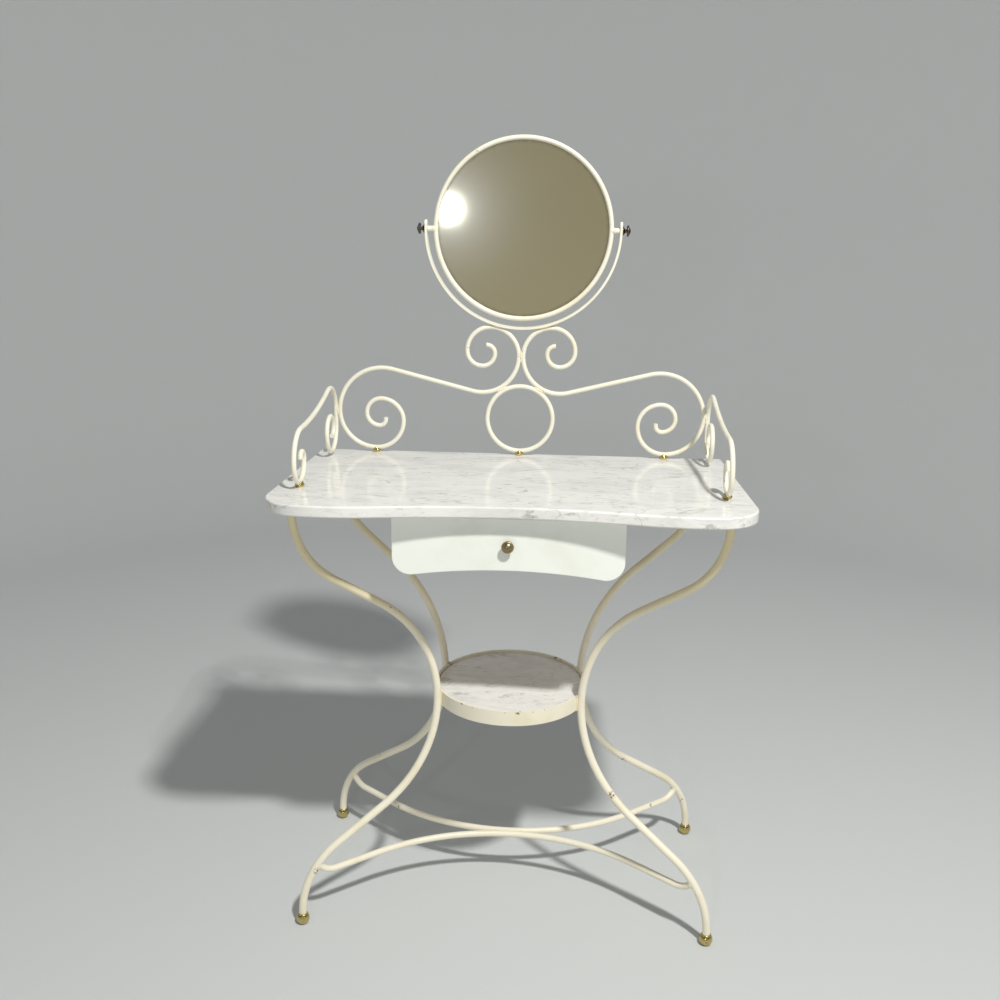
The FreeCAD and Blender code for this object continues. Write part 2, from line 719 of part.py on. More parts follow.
def yoke_path():
    """Gives the outline of the yoke about its pivot, from the left tip round the outside."""
    path = Path(-yoke_outside, dim.yoke_tip_rise, -90)
    path.straight(dim.yoke_tip_rise)
    path.bend(yoke_outside, 180, f"{YOKE_INSIDE} + Sizes.yoke_thickness")
    path.straight(dim.yoke_tip_rise)
    path.line_to(yoke_inside, dim.yoke_tip_rise, YOKE_INSIDE, "Sizes.yoke_tip_rise")
    path.heading = math.radians(-90)
    path.straight(dim.yoke_tip_rise)
    path.steps[-1].smooth = False
    path.bend(yoke_inside, -180, YOKE_INSIDE)
    path.straight(dim.yoke_tip_rise)
    return path.close()


def is_yoke_tip(edge):
    """Picks the four short edges across the thickness at the tips of the yoke."""
    bounds = edge.BoundBox
    return bounds.ZMin > dim.yoke_tip_rise - 0.01 and bounds.XLength > bounds.YLength


yoke_bar = padded("yoke_bar", yoke_path(), "Sizes.yoke_width", "XZ_Plane",
                  Placement(Vector(0, gallery_y + dim.yoke_width / 2, pivot_z), Rotation()))
rounded(yoke_bar, "Sizes.yoke_width * 0.45", is_yoke_tip)
yoke_holes = cylinder("yoke_holes", "(Sizes.screw_diameter + Sizes.screw_hole_clearance) / 2",
                      f"2 * ({YOKE_INSIDE} + 2 * Sizes.yoke_thickness)",
                      f"-({YOKE_INSIDE} + 2 * Sizes.yoke_thickness)", GALLERY_Y, str(pivot_z), RIGHT)
mirror_yoke = cut("mirror_yoke", yoke_bar, yoke_holes)
keep(mirror_yoke)

gallery = {
    "gallery_scroll_left": cut("gallery_scroll_left", scroll_bars["left"], mirror_yoke),
    "gallery_scroll_right": cut("gallery_scroll_right", scroll_bars["right"], mirror_yoke,
                                scroll_bars["left"]),
    "gallery_ring": cut("gallery_ring", ring_bar, scroll_bars["left"], scroll_bars["right"]),
    "gallery_side_left": cut("gallery_side_left", side_bars["left"], scroll_bars["left"]),
    "gallery_side_right": cut("gallery_side_right", side_bars["right"], scroll_bars["right"]),
}
keep(*gallery.values())

# Studs: welded under the gallery, through spacers, marble and frame, with washers and nuts.
stud_places = {
    "gallery_ring": (0, gallery_y),
    "gallery_scroll_left": (-dim.scroll_foot_x, gallery_y),
    "gallery_scroll_right": (dim.scroll_foot_x, gallery_y),
    "gallery_side_left": (-side_x, dim.side_foot_y),
    "gallery_side_right": (side_x, dim.side_foot_y),
}
STUD_LOW = f"{FRAME_BOTTOM} - Sizes.stud_length_below"
stud_holes = []
spacers = []
studs = []
washers = []
nuts = []


def spacer_path():
    """Gives the half outline of a brass bead, before the rod is let into its top."""
    bore = dim.stud_hole_diameter / 2
    edge = dim.spacer_diameter / 2 - dim.spacer_bulge
    height = dim.spacer_height + dim.spacer_saddle
    half = height / 2
    bulge = (half ** 2 + dim.spacer_bulge ** 2) / (2 * dim.spacer_bulge)
    turn = math.degrees(math.asin(half / bulge))
    path = Path(bore, 0, 0).line_to(edge, 0, "Sizes.spacer_diameter / 2 - Sizes.spacer_bulge")
    path.heading = math.radians(90 - turn)
    path.bend(bulge, 2 * turn, smooth=False)
    path.line_to(bore, height, "Sizes.stud_hole_diameter / 2", "Sizes.spacer_height + Sizes.spacer_saddle")
    return path.close()


for name, (x, y) in stud_places.items():
    place = (str(x), str(y))
    stud_holes.append(cylinder(f"{name}_hole", "Sizes.stud_hole_diameter / 2",
                               "Sizes.slab_thickness + Sizes.frame_bar_thickness", *place, FRAME_BOTTOM))
    spacer_place = Placement(Vector(x, y, dim.table_height), Rotation())
    bead = turned(f"{name}_bead", spacer_path(), spacer_place)
    spacers.append(cut(f"{name}_spacer", bead, gallery[name]))
    stud_bar = cylinder(f"{name}_stud_bar", "Sizes.stud_diameter / 2",
                        "Sizes.slab_thickness + Sizes.frame_bar_thickness + Sizes.stud_length_below"
                        " + Sizes.spacer_height + Sizes.gallery_rod_diameter / 2", *place, STUD_LOW)
    studs.append(cut(f"{name}_stud", stud_bar, gallery[name]))
    bore = cylinder(f"{name}_nut_bore", "(Sizes.stud_diameter + Sizes.nut_bore_clearance) / 2",
                    "Sizes.stud_length_below", *place, STUD_LOW)
    washer_disc = cylinder(f"{name}_washer_disc", "Sizes.washer_diameter / 2", "Sizes.washer_thickness",
                           *place, f"{FRAME_BOTTOM} - Sizes.washer_thickness")
    washers.append(cut(f"{name}_washer", washer_disc, bore))
    nut_prism = doc.addObject("Part::Prism", f"{name}_nut_prism")
    nut_prism.Polygon = 6
    nut_prism.setExpression("Circumradius", "Sizes.nut_across_corners / 2")
    nut_prism.setExpression("Height", "Sizes.nut_height")
    nut_level = frame_bottom - dim.washer_thickness - dim.nut_height
    nut_prism.Placement = Placement(Vector(x, y, nut_level), Rotation())
    nuts.append(cut(f"{name}_nut", nut_prism, bore))

all_stud_holes = group("all_stud_holes", stud_holes)
keep(group("gallery_spacers", spacers), group("gallery_studs", studs),
     group("gallery_washers", washers), group("gallery_nuts", nuts))
keep(cut("marble_top", slab_stone, all_stud_holes))

# Frame: two long bars over the leg tops and two short bars between them.
HALF_BAR = "Sizes.frame_bar_width / 2"
for end_name, sign in (("front", "-"), ("rear", "+")):
    bar = box(f"frame_{end_name}_stock", f"2 * {SIDE_X} + Sizes.frame_bar_width", "Sizes.frame_bar_width",
              "Sizes.frame_bar_thickness", f"-{SIDE_X} - {HALF_BAR}",
              f"Sizes.leg_centre_y {sign} {LEG_TOP_Y} - {HALF_BAR}", FRAME_BOTTOM)
    keep(cut(f"frame_bar_{end_name}", bar, all_stud_holes))
for side_name, sign in (("left", "-"), ("right", "+")):
    bar = box(f"frame_{side_name}_stock", "Sizes.frame_bar_width", f"2 * {LEG_TOP_Y} - Sizes.frame_bar_width",
              "Sizes.frame_bar_thickness", f"{sign}{SIDE_X} - {HALF_BAR}",
              f"Sizes.leg_centre_y - {LEG_TOP_Y} + {HALF_BAR}", FRAME_BOTTOM)
    keep(cut(f"frame_bar_{side_name}", bar, all_stud_holes))

# Mirror: a round-bar ring, glass behind its lip, a back pan with clips, and two pivot bosses.
mirror_place = Placement(Vector(0, gallery_y, pivot_z), Rotation(RIGHT, -90))
tube = dim.mirror_tube_diameter / 2
mirror_ring = doc.addObject("Part::Torus", "mirror_ring")
mirror_ring.setExpression("Radius1", "Sizes.mirror_ring_radius")
mirror_ring.setExpression("Radius2", "Sizes.mirror_tube_diameter / 2")
mirror_ring.Placement = mirror_place

glass_lip = math.sqrt(tube ** 2 - dim.glass_setback ** 2)
mirror_glass = doc.addObject("Part::Cylinder", "mirror_glass")
mirror_glass.setExpression("Radius", "Sizes.mirror_ring_radius - Sizes.glass_edge_gap"
                           " - sqrt((Sizes.mirror_tube_diameter / 2)^2 - Sizes.glass_setback^2)")
mirror_glass.setExpression("Height", "Sizes.glass_thickness")
mirror_glass.Placement = mirror_place.multiply(Placement(Vector(0, 0, dim.glass_setback), Rotation()))

pan_floor = dim.glass_setback + dim.glass_thickness
PAN_FLOOR = "Sizes.glass_setback + Sizes.glass_thickness"


def pan_path():
    """Gives the half outline of the back pan: a flat disc with a rim turned to the ring."""
    radius = dim.mirror_ring_radius
    rim = radius - dim.pan_rim_thickness
    back = pan_floor + dim.pan_thickness
    path = Path(0, pan_floor, 0).line_to(rim, pan_floor, y_size=PAN_FLOOR)
    path.line_to(rim, tube / 2, "Sizes.mirror_ring_radius - Sizes.pan_rim_thickness")
    path.line_to(radius, tube / 2, "Sizes.mirror_ring_radius", "Sizes.mirror_tube_diameter / 4")
    path.line_to(radius, back, "Sizes.mirror_ring_radius", f"{PAN_FLOOR} + Sizes.pan_thickness")
    path.line_to(0, back)
    return path.close()


pan_sheet = turned("pan_sheet", pan_path(), mirror_place)
keep(mirror_ring, mirror_glass, cut("mirror_back", pan_sheet, mirror_ring))


def clip_path():
    """Gives the side outline of a clip: up from the ring and in over the pan."""
    outside = dim.mirror_ring_radius + 2 * dim.clip_thickness
    under = pan_floor + dim.pan_thickness
    path = Path(outside - dim.clip_overlap, under, 0)
    path.line_to(outside - dim.clip_thickness, under, "Sizes.mirror_ring_radius + Sizes.clip_thickness")
    path.line_to(outside - dim.clip_thickness, tube / 2)
    path.line_to(outside, tube / 2, "Sizes.mirror_ring_radius + 2 * Sizes.clip_thickness")
    path.line_to(outside, under + dim.clip_thickness)
    path.line_to(outside - dim.clip_overlap, under + dim.clip_thickness)
    return path.close()


clips = []
for number, quarter in enumerate((45, 135, 225, 315), start=1):
    centred = Placement(Vector(0, dim.clip_width / 2, 0), Rotation())
    turn = mirror_place.multiply(Placement(Vector(0, 0, 0), Rotation(UP, quarter))).multiply(centred)
    strip = padded(f"clip_strip_{number}", clip_path(), "Sizes.clip_width", "XZ_Plane", turn)
    clips.append(cut(f"clip_{number}", strip, mirror_ring))
keep(group("mirror_clips", clips))


# Knobs: a coned foot, a thin neck and a flat rimmed head with a domed middle.
def knob_path(bore, shank, shank_size):
    """Gives the half outline of a knob that stands on level zero.

    A shank below the foot makes it a screw, and a bore takes a screw from below.
    """
    foot = dim.knob_foot_diameter / 2
    neck = dim.knob_neck_diameter / 2
    head = dim.knob_head_diameter / 2
    rim = dim.knob_rim_height
    dome = dim.knob_dome_diameter / 2
    neck_top = dim.knob_foot_height + dim.knob_neck_length
    dome_radius = (dome ** 2 + dim.knob_dome_height ** 2) / (2 * dim.knob_dome_height)
    dome_turn = math.degrees(math.asin(dome / dome_radius))
    rim_top = neck_top + rim
    if shank:
        path = Path(0, -shank, 0)
        path.line_to(bore, -shank, "Sizes.screw_diameter / 2", shank_size)
        path.line_to(bore, 0)
    else:
        path = Path(0, dim.knob_screw_bite, 0)
        path.line_to(bore, dim.knob_screw_bite, "Sizes.knob_screw_diameter / 2", "Sizes.knob_screw_bite")
        path.line_to(bore, 0)
    path.line_to(foot, 0, "Sizes.knob_foot_diameter / 2")
    path.line_to(foot, dim.knob_foot_height / 4)
    path.line_to(neck, dim.knob_foot_height, "Sizes.knob_neck_diameter / 2", "Sizes.knob_foot_height")
    path.line_to(neck, neck_top)
    path.line_to(head - rim / 2, neck_top, "Sizes.knob_head_diameter / 2 - Sizes.knob_rim_height / 2",
                 "Sizes.knob_foot_height + Sizes.knob_neck_length")
    path.heading = 0
    path.bend(rim / 2, 180, "Sizes.knob_rim_height / 2", smooth=False)
    path.line_to(dome, rim_top, "Sizes.knob_dome_diameter / 2")
    path.heading = math.radians(180 - dome_turn)
    path.bend(dome_radius, dome_turn, smooth=False)
    return path.close()


boss_length = dim.mirror_tube_diameter / 2 + dim.yoke_gap - dim.pivot_gap
screw_shank = dim.yoke_thickness + 2 * dim.pivot_gap + dim.screw_reach
SCREW_SHANK = "-(Sizes.yoke_thickness + 2 * Sizes.pivot_gap + Sizes.screw_reach)"
for side_name, side in SIDES.items():
    outwards = RIGHT * side
    root = str(side * dim.mirror_ring_radius)
    boss_bar = cylinder(f"boss_{side_name}_bar", "Sizes.boss_diameter / 2",
                        "Sizes.mirror_tube_diameter / 2 + Sizes.yoke_gap - Sizes.pivot_gap",
                        root, GALLERY_Y, str(pivot_z), outwards)
    bore_depth = dim.screw_reach + dim.screw_tip_gap
    bore_root = str(side * (dim.mirror_ring_radius + boss_length - bore_depth))
    boss_bore = cylinder(f"boss_{side_name}_bore", "(Sizes.screw_diameter + Sizes.screw_bore_clearance) / 2",
                         "Sizes.screw_reach + Sizes.screw_tip_gap",
                         bore_root, GALLERY_Y, str(pivot_z), outwards)
    keep(cut(f"mirror_boss_{side_name}", boss_bar, mirror_ring, boss_bore))
    seat = Vector(side * (yoke_outside + dim.pivot_gap), gallery_y, pivot_z)
    keep(turned(f"thumb_screw_{side_name}", knob_path(dim.screw_diameter / 2, screw_shank, SCREW_SHANK),
                Placement(seat, Rotation(UP, outwards))))

# Drawer: an arched front on a plain box that hangs from two angle runners.
front_y = -dim.slab_depth / 2 + dim.slab_bow_depth + dim.drawer_front_setback
front_top = slab_bottom - dim.drawer_top_gap
FRONT_Y = "-Sizes.slab_depth / 2 + Sizes.slab_bow_depth + Sizes.drawer_front_setback"
FRONT_BACK = f"{FRONT_Y} + Sizes.drawer_front_thickness"
BOX_TOP = f"{FRAME_BOTTOM} - Sizes.drawer_head_gap"
KNOB_Z = f"{SLAB_BOTTOM} - Sizes.drawer_top_gap - Sizes.drawer_knob_drop"


def front_path():
    """Gives the outline of the drawer front, clockwise from its top right corner."""
    half = dim.drawer_front_width / 2
    corner = dim.drawer_corner_radius
    rise = dim.drawer_arch_rise
    arch = ((half - corner) ** 2 + (corner - rise) ** 2 - corner ** 2) / (2 * rise)
    arch_turn = math.degrees(math.asin((half - corner) / (arch + corner)))
    side = dim.drawer_front_height - corner
    path = Path(half, 0, -90)
    path.straight(side)
    path.bend(corner, -90 - arch_turn, "Sizes.drawer_corner_radius")
    path.bend(arch, 2 * arch_turn)
    path.bend(corner, -90 - arch_turn, "Sizes.drawer_corner_radius")
    path.straight(side)
    return path.close()


def is_front_face_edge(edge):
    """Picks the edges round the show face of the drawer front."""
    return edge.BoundBox.YMax < -dim.drawer_front_thickness + 0.01


front_plate = padded("front_plate", front_path(), "Sizes.drawer_front_thickness", "XZ_Plane",
                     Placement(Vector(0, front_y + dim.drawer_front_thickness, front_top), Rotation()))
rounded(front_plate, "Sizes.drawer_front_round", is_front_face_edge)
knob_hole = cylinder("knob_hole", "Sizes.knob_screw_diameter / 2", "Sizes.drawer_front_thickness",
                     "0", FRONT_BACK, KNOB_Z, Vector(0, -1, 0))
keep(cut("drawer_front", front_plate, knob_hole))

for side_name, sign in (("left", "-"), ("right", "+")):
    inset = "0" if sign == "-" else "Sizes.drawer_side_thickness"
    keep(box(f"drawer_side_{side_name}", "Sizes.drawer_side_thickness", "Sizes.drawer_box_depth",
             "Sizes.drawer_side_height", f"{sign}Sizes.drawer_box_width / 2 - {inset}", FRONT_BACK,
             f"{BOX_TOP} - Sizes.drawer_side_height"))
    outside = "Sizes.drawer_batten_width" if sign == "-" else "0"
    keep(box(f"drawer_batten_{side_name}", "Sizes.drawer_batten_width", "Sizes.drawer_box_depth",
             "Sizes.drawer_batten_height", f"{sign}Sizes.drawer_box_width / 2 - {outside}", FRONT_BACK,
             f"{BOX_TOP} - Sizes.drawer_batten_height"))
BOX_INSIDE = "Sizes.drawer_box_width - 2 * Sizes.drawer_side_thickness"
keep(box("drawer_back", BOX_INSIDE, "Sizes.drawer_side_thickness", "Sizes.drawer_side_height",
         f"-({BOX_INSIDE}) / 2", f"{FRONT_BACK} + Sizes.drawer_box_depth - Sizes.drawer_side_thickness",
         f"{BOX_TOP} - Sizes.drawer_side_height"))
keep(box("drawer_bottom", BOX_INSIDE, "Sizes.drawer_box_depth - Sizes.drawer_side_thickness",
         "Sizes.drawer_bottom_thickness", f"-({BOX_INSIDE}) / 2", FRONT_BACK,
         f"{BOX_TOP} - Sizes.drawer_side_height + Sizes.drawer_bottom_inset"))

knob_place = Vector(0, front_y, front_top - dim.drawer_knob_drop)
keep(turned("drawer_knob", knob_path(dim.knob_screw_diameter / 2, 0, None),
            Placement(knob_place, Rotation(UP, Vector(0, -1, 0)))))


def knob_screw_path():
    """Gives the half outline of the round-head screw that holds the drawer knob."""
    shank = dim.knob_screw_diameter / 2
    head = dim.knob_screw_head_diameter / 2
    length = dim.drawer_front_thickness + dim.knob_screw_bite
    path = Path(0, -dim.knob_screw_head_height, 0)
    path.line_to(head / 2, -dim.knob_screw_head_height, y_size="-Sizes.knob_screw_head_height")
    path.line_to(head, 0, "Sizes.knob_screw_head_diameter / 2")
    path.line_to(shank, 0, "Sizes.knob_screw_diameter / 2")
    path.line_to(shank, length, y_size="Sizes.drawer_front_thickness + Sizes.knob_screw_bite")
    path.line_to(0, length)
    return path.close()


screw_place = Vector(0, front_y + dim.drawer_front_thickness, front_top - dim.drawer_knob_drop)
keep(turned("drawer_knob_screw", knob_screw_path(), Placement(screw_place, Rotation(UP, Vector(0, -1, 0)))))


# Runners: angle bars welded under the frame, whose lower flanges carry the drawer battens.
runner_start = front_y + dim.drawer_front_thickness + dim.runner_end_gap
runner_end = dim.leg_centre_y + leg_top_y + dim.frame_bar_width / 2
runner_web = dim.drawer_box_width / 2 + dim.drawer_batten_width + dim.drawer_side_gap
runner_drop = dim.drawer_head_gap + dim.drawer_batten_height + dim.drawer_slide_gap
RUNNER_LENGTH = (f"Sizes.leg_centre_y + {LEG_TOP_Y} + {HALF_BAR} - ({FRONT_BACK}) - Sizes.runner_end_gap")
for side_name, side in SIDES.items():
    inner = runner_web - dim.drawer_batten_width
    outer = runner_web + dim.runner_thickness
    low = -runner_drop - dim.runner_thickness
    angle = Path(side * outer, 0, 0)
    angle.line_to(side * runner_web, 0)
    angle.line_to(side * runner_web, -runner_drop,
                  y_size="-Sizes.drawer_head_gap - Sizes.drawer_batten_height - Sizes.drawer_slide_gap")
    angle.line_to(side * inner, -runner_drop)
    angle.line_to(side * inner, low)
    angle.line_to(side * outer, low)
    keep(padded(f"drawer_runner_{side_name}", angle.close(), RUNNER_LENGTH, "XZ_Plane",
                Placement(Vector(0, runner_end, frame_bottom), Rotation())))

# Every feature is checked before anything is written.
doc.recompute()
for item in doc.Objects:
    failed = {"Invalid", "Error"} & set(item.State)
    if failed:
        raise RuntimeError(f"{item.Label} failed: {item.State}")
for item in subparts:
    if item.Shape.isNull() or not item.Shape.isValid() or not item.Shape.Solids:
        raise RuntimeError(f"{item.Label} has no sound shape")

os.makedirs("parts", exist_ok=True)
for item in subparts:
    item.Shape.exportStep(f"parts/{item.Label}.step")
    print(f"{item.Label}: {len(item.Shape.Solids)} solids, {item.Shape.Volume:.0f} mm3")
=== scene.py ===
"""Dresses a wrought-iron dressing table with its finishes and welds, and sets the studio.

Lengths are metres in the frame of the CAD model: +Z is up and the front faces -Y.
"""

from __future__ import annotations

import json
import logging
import math
from dataclasses import dataclass, field
from enum import Enum

import bmesh
import bpy
from mathutils import Matrix, Vector


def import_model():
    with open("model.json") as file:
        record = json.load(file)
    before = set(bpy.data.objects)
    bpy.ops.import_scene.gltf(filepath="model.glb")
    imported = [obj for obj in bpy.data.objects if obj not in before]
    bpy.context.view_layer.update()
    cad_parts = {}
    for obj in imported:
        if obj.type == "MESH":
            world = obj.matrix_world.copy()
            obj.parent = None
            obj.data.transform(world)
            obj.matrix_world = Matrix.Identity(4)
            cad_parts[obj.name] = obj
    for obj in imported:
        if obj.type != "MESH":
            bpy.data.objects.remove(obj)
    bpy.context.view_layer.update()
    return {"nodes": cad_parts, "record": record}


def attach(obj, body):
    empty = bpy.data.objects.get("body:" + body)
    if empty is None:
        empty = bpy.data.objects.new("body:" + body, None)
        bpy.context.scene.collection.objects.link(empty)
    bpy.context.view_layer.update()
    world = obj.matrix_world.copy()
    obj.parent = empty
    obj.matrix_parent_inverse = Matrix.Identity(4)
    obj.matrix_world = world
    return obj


Tree = bpy.types.NodeTree
Socket = bpy.types.NodeSocket
Triple = tuple[float, float, float]
Pair = tuple[float, float]

LOG = logging.getLogger("dressing_table")
MM = 0.001
FULL_TURN = 2 * math.pi
ACROSS = Vector((1.0, 0.0, 0.0))
BACK = Vector((0.0, 1.0, 0.0))
UP = Vector((0.0, 0.0, 1.0))
SOFT = {"interpolation_type": "SMOOTHSTEP"}  # a range whose ends fade in and out
LEG_AXIS_Y = 20 * MM  # upright line in which the planes of the four legs meet
LEG_ANGLE = math.radians(25.98)  # of those planes from the X axis
HOOP_TOP_Z = 387 * MM  # upper edge of the shelf's hoop
GALLERY_Y = 188 * MM  # upright plane of the back scrolls, the yoke and the mirror


class Slot(Enum):
    """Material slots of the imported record."""

    CREAM_PAINT = "cream_paint"
    MARBLE = "marble"
    BRASS = "brass"
    BRONZE = "bronze"
    WHITE_PAINT = "white_paint"
    DRAWER_WOOD = "drawer_wood"
    PLAIN_STEEL = "plain_steel"
    MIRROR_GLASS = "mirror_glass"
    MIRROR_BACK = "mirror_back"


class Body(Enum):
    """Bodies of the frame that new pieces ride on."""

    TABLE = "table"
    MIRROR = "mirror"


class Side(Enum):
    """Left and right of the table, as signs of X."""

    LEFT = -1
    RIGHT = 1


class End(Enum):
    """Front and rear of the table, as signs of Y."""

    FRONT = -1
    REAR = 1


class Level(Enum):
    """Under and over a joint, as signs of Z."""

    UNDER = -1
    OVER = 1


def srgb(code: str) -> tuple[float, float, float, float]:
    """Turns a hex colour into linear light.

    Args:
        code: six hex digits after a hash.

    Returns:
        Red, green, blue and alpha for a shader socket.
    """
    parts = [int(code[i:i + 2], 16) / 255 for i in (1, 3, 5)]
    linear = [p / 12.92 if p <= 0.04045 else ((p + 0.055) / 1.055) ** 2.4 for p in parts]
    return (*linear, 1.0)


def add_node(tree: Tree, kind: str, inputs: dict | None = None, output: str = "",
             **settings: object) -> Socket | None:
    """Adds a shader node with its settings and links.

    Args:
        tree: the node tree that takes it.
        kind: the node's type, without its common first word.
        inputs: for each input, by name or number, a socket to link from or a value.
        output: name of the output that is wanted, or nothing for the first live one.
        settings: properties of the node itself.

    Returns:
        The wanted output, or nothing where the node has none.
    """
    node = tree.nodes.new(f"ShaderNode{kind}")
    for name, value in settings.items():
        setattr(node, name, value)
    for name, value in (inputs or {}).items():
        if isinstance(value, Socket):
            tree.links.new(value, node.inputs[name])
        else:
            node.inputs[name].default_value = value
    if output:
        return node.outputs[output]
    return next((socket for socket in node.outputs if socket.enabled), None)


def toward(side: Side, end: End, angle: float) -> Vector:
    """Gives the level direction from the middle to one corner, at an angle from the X axis."""
    return Vector((side.value * math.cos(angle), end.value * math.sin(angle), 0))


def on_side(side: Side, place: Pair, y: float) -> Vector:
    """Turns an X and Z of the right half into a vector on one side of the table, at a depth."""
    return Vector((side.value * place[0], y, place[1]))


def make_piece(name: str, mesh: bmesh.types.BMesh, material: bpy.types.Material,
               merge: float) -> bpy.types.Object:
    """Turns a finished mesh into a smooth-shaded object at the origin.

    Args:
        name: name of the object.
        mesh: the mesh, which is used up.
        material: its finish.
        merge: vertices closer than this become one.

    Returns:
        The new object.
    """
    bmesh.ops.remove_doubles(mesh, verts=mesh.verts, dist=merge)
    bmesh.ops.recalc_face_normals(mesh, faces=mesh.faces)
    for face in mesh.faces:
        face.smooth = True
    data = bpy.data.meshes.new(name)
    mesh.to_mesh(data)
    mesh.free()
    data.materials.append(material)
    piece = bpy.data.objects.new(name, data)
    bpy.context.collection.objects.link(piece)
    return piece


@dataclass(frozen=True)
class Finish:
    """A finish of a real material, drawn in the object's own coordinates in metres."""

    name: str

    def draw(self, tree: Tree, space: Socket) -> dict:
        """Adds the nodes of the finish, and gives the inputs of the surface shader by socket name."""
        raise NotImplementedError

    def build(self) -> bpy.types.Material:
        """Makes the material.

        Returns:
            A new material with one surface shader.
        """
        material = bpy.data.materials.new(self.name)
        material.use_nodes = True
        tree = material.node_tree
        tree.nodes.clear()
        space = add_node(tree, "TexCoord", output="Object")
        surface = add_node(tree, "BsdfPrincipled", self.draw(tree, space))
        add_node(tree, "OutputMaterial", {"Surface": surface})
        return material


